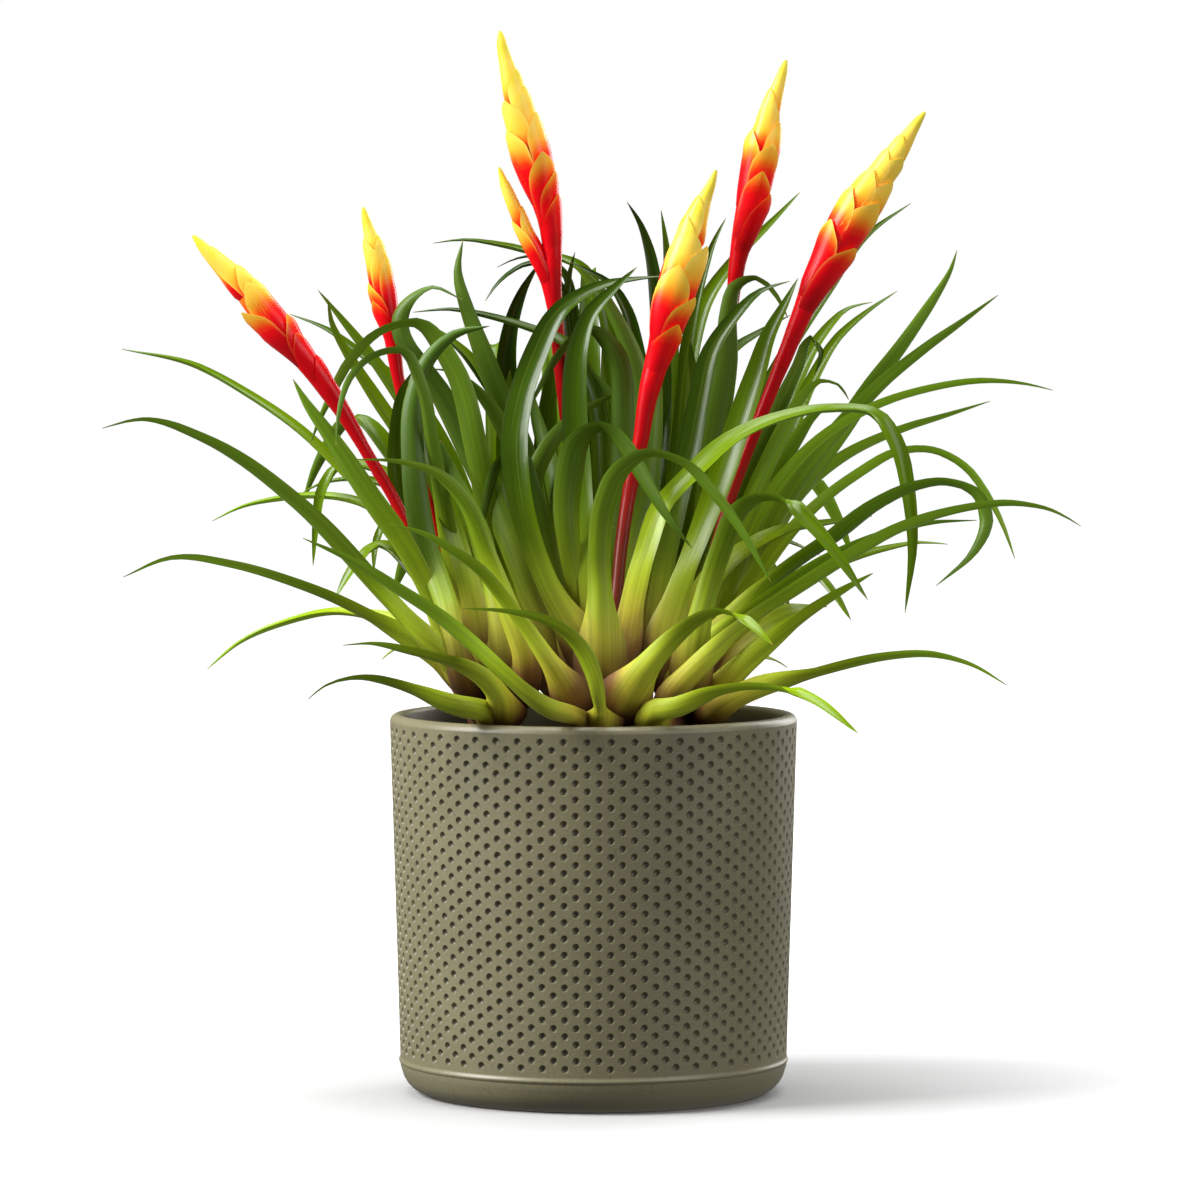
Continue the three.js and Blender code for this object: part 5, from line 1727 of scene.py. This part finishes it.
def floor_finish():
    look = Finish("floor")
    spot = look.node("ShaderNodeTexCoord", output="Object")
    faint = look.noise(spot, 3.0, 2.0)
    colour = look.mix(faint * 0.3, rgb(182, 182, 182), rgb(179, 179, 179))
    x, y, _ = look.split(spot)
    far = ((x * x + y * y) ** 0.5).ramp(GLOW_FROM, FULL_GLOW_AT)
    glow = look.mix(far, rgb(0, 0, 0), rgb(247, 247, 247))
    return look.done(
        Base_Color=colour, Roughness=0.5 + faint * 0.05, Specular_IOR_Level=0.3,
        Emission_Color=glow, Emission_Strength=1.0,
    )


def backdrop_finish():
    look = Finish("backdrop")
    glow = look.node("ShaderNodeEmission", None, {"Color": (1, 1, 1, 1), "Strength": 1.0})
    look.node("ShaderNodeOutputMaterial", None, {"Surface": glow})
    return look.material


# %% [markdown]
# The floor is a large disc and the backdrop a low wall round it, both far wider than the
# picture from any side.

# %% Stage
STUDIO_RADIUS = 7.0
WALL_HEIGHT = 1.5
WALL_SIDES = 64


def stage_piece(name, points, faces, material):
    mesh = bpy.data.meshes.new(name)
    mesh.from_pydata(points, [], faces)
    material.cycles.emission_sampling = "NONE"
    mesh.materials.append(material)
    made = bpy.data.objects.new(name, mesh)
    made.visible_diffuse = False
    made.visible_glossy = False
    bpy.context.scene.collection.objects.link(made)


around = 2 * np.pi * np.arange(WALL_SIDES) / WALL_SIDES
circle = STUDIO_RADIUS * np.column_stack([np.cos(around), np.sin(around), 0 * around])
floor_points = circle.tolist()
stage_piece("floor", floor_points, [tuple(range(WALL_SIDES))], floor_finish())
wall_points = floor_points + (circle + (0, 0, WALL_HEIGHT)).tolist()
wall_faces = tube_faces(2, WALL_SIDES, closed=False)
stage_piece("backdrop", wall_points, wall_faces, backdrop_finish())
print("the studio is", 2 * STUDIO_RADIUS, "m across")

# %% [markdown]
# ## Lights
# The strongest light is a wide soft one high on the left, and it gives the leaves their
# sheen and the pot its shade on the right. A weaker one fills from the right, one hangs over
# the plant, and one behind it on the right lifts the edges of the leaves. Small lamps or a
# sun would draw hard shadows that a studio doesn't have.

# %% Lights
from mathutils import Vector

LIGHTS = {
    "key": ((-1.66, -0.45, 1.25), (1.0, 1.3), 96),
    "fill": ((1.5, -1.0, 0.9), (1.0, 1.4), 18),
    "top": ((0.0, 0.1, 1.7), (1.4, 1.2), 42),
    "back": ((1.1, 1.4, 0.8), (0.8, 1.3), 22),
}
MIDDLE_OF_PLANT = Vector((0, 0, 0.2))
WORLD_LIGHT = 0.2


def soft_light(name, stands_at, size, power):
    """A wide lamp that looks at the middle of the plant."""
    light = bpy.data.lights.new(name, "AREA")
    light.shape = "RECTANGLE"
    light.size, light.size_y = size
    light.energy = power
    lamp = bpy.data.objects.new(name, light)
    lamp.location = stands_at
    lamp.rotation_euler = (MIDDLE_OF_PLANT - lamp.location).to_track_quat("-Z", "Y").to_euler()
    bpy.context.scene.collection.objects.link(lamp)


for name, light in LIGHTS.items():
    soft_light(name, *light)
world = bpy.data.worlds.new("studio")
world.use_nodes = True
world.node_tree.nodes["Background"].inputs["Color"].default_value = (1, 1, 1, 1)
world.node_tree.nodes["Background"].inputs["Strength"].default_value = WORLD_LIGHT
bpy.context.scene.world = world
bpy.context.scene.view_settings.view_transform = "Standard"
print(len(LIGHTS), "lights")

# %% [markdown]
# ## Camera
# The camera stands where the eye does that the leaves were drawn by, with the same pitch and
# focus. It stands far off with a long lens, so that the pot's sides run nearly parallel.

# %% Camera
SENSOR = 36.0
lens = bpy.data.cameras.new("camera")
lens.sensor_width = SENSOR
lens.sensor_fit = "HORIZONTAL"
lens.lens = EYE_FOCUS / PICTURE * SENSOR
lens.clip_start = 0.1
lens.clip_end = 20
camera = bpy.data.objects.new("camera", lens)
camera.location = (EYE_SIDE * MM, -EYE_DISTANCE * MM, EYE_HEIGHT * MM)
camera.rotation_euler = (np.pi / 2 - EYE_PITCH, 0, 0)
bpy.context.scene.collection.objects.link(camera)
bpy.context.scene.camera = camera
print("lens of", round(lens.lens, 1), "mm")
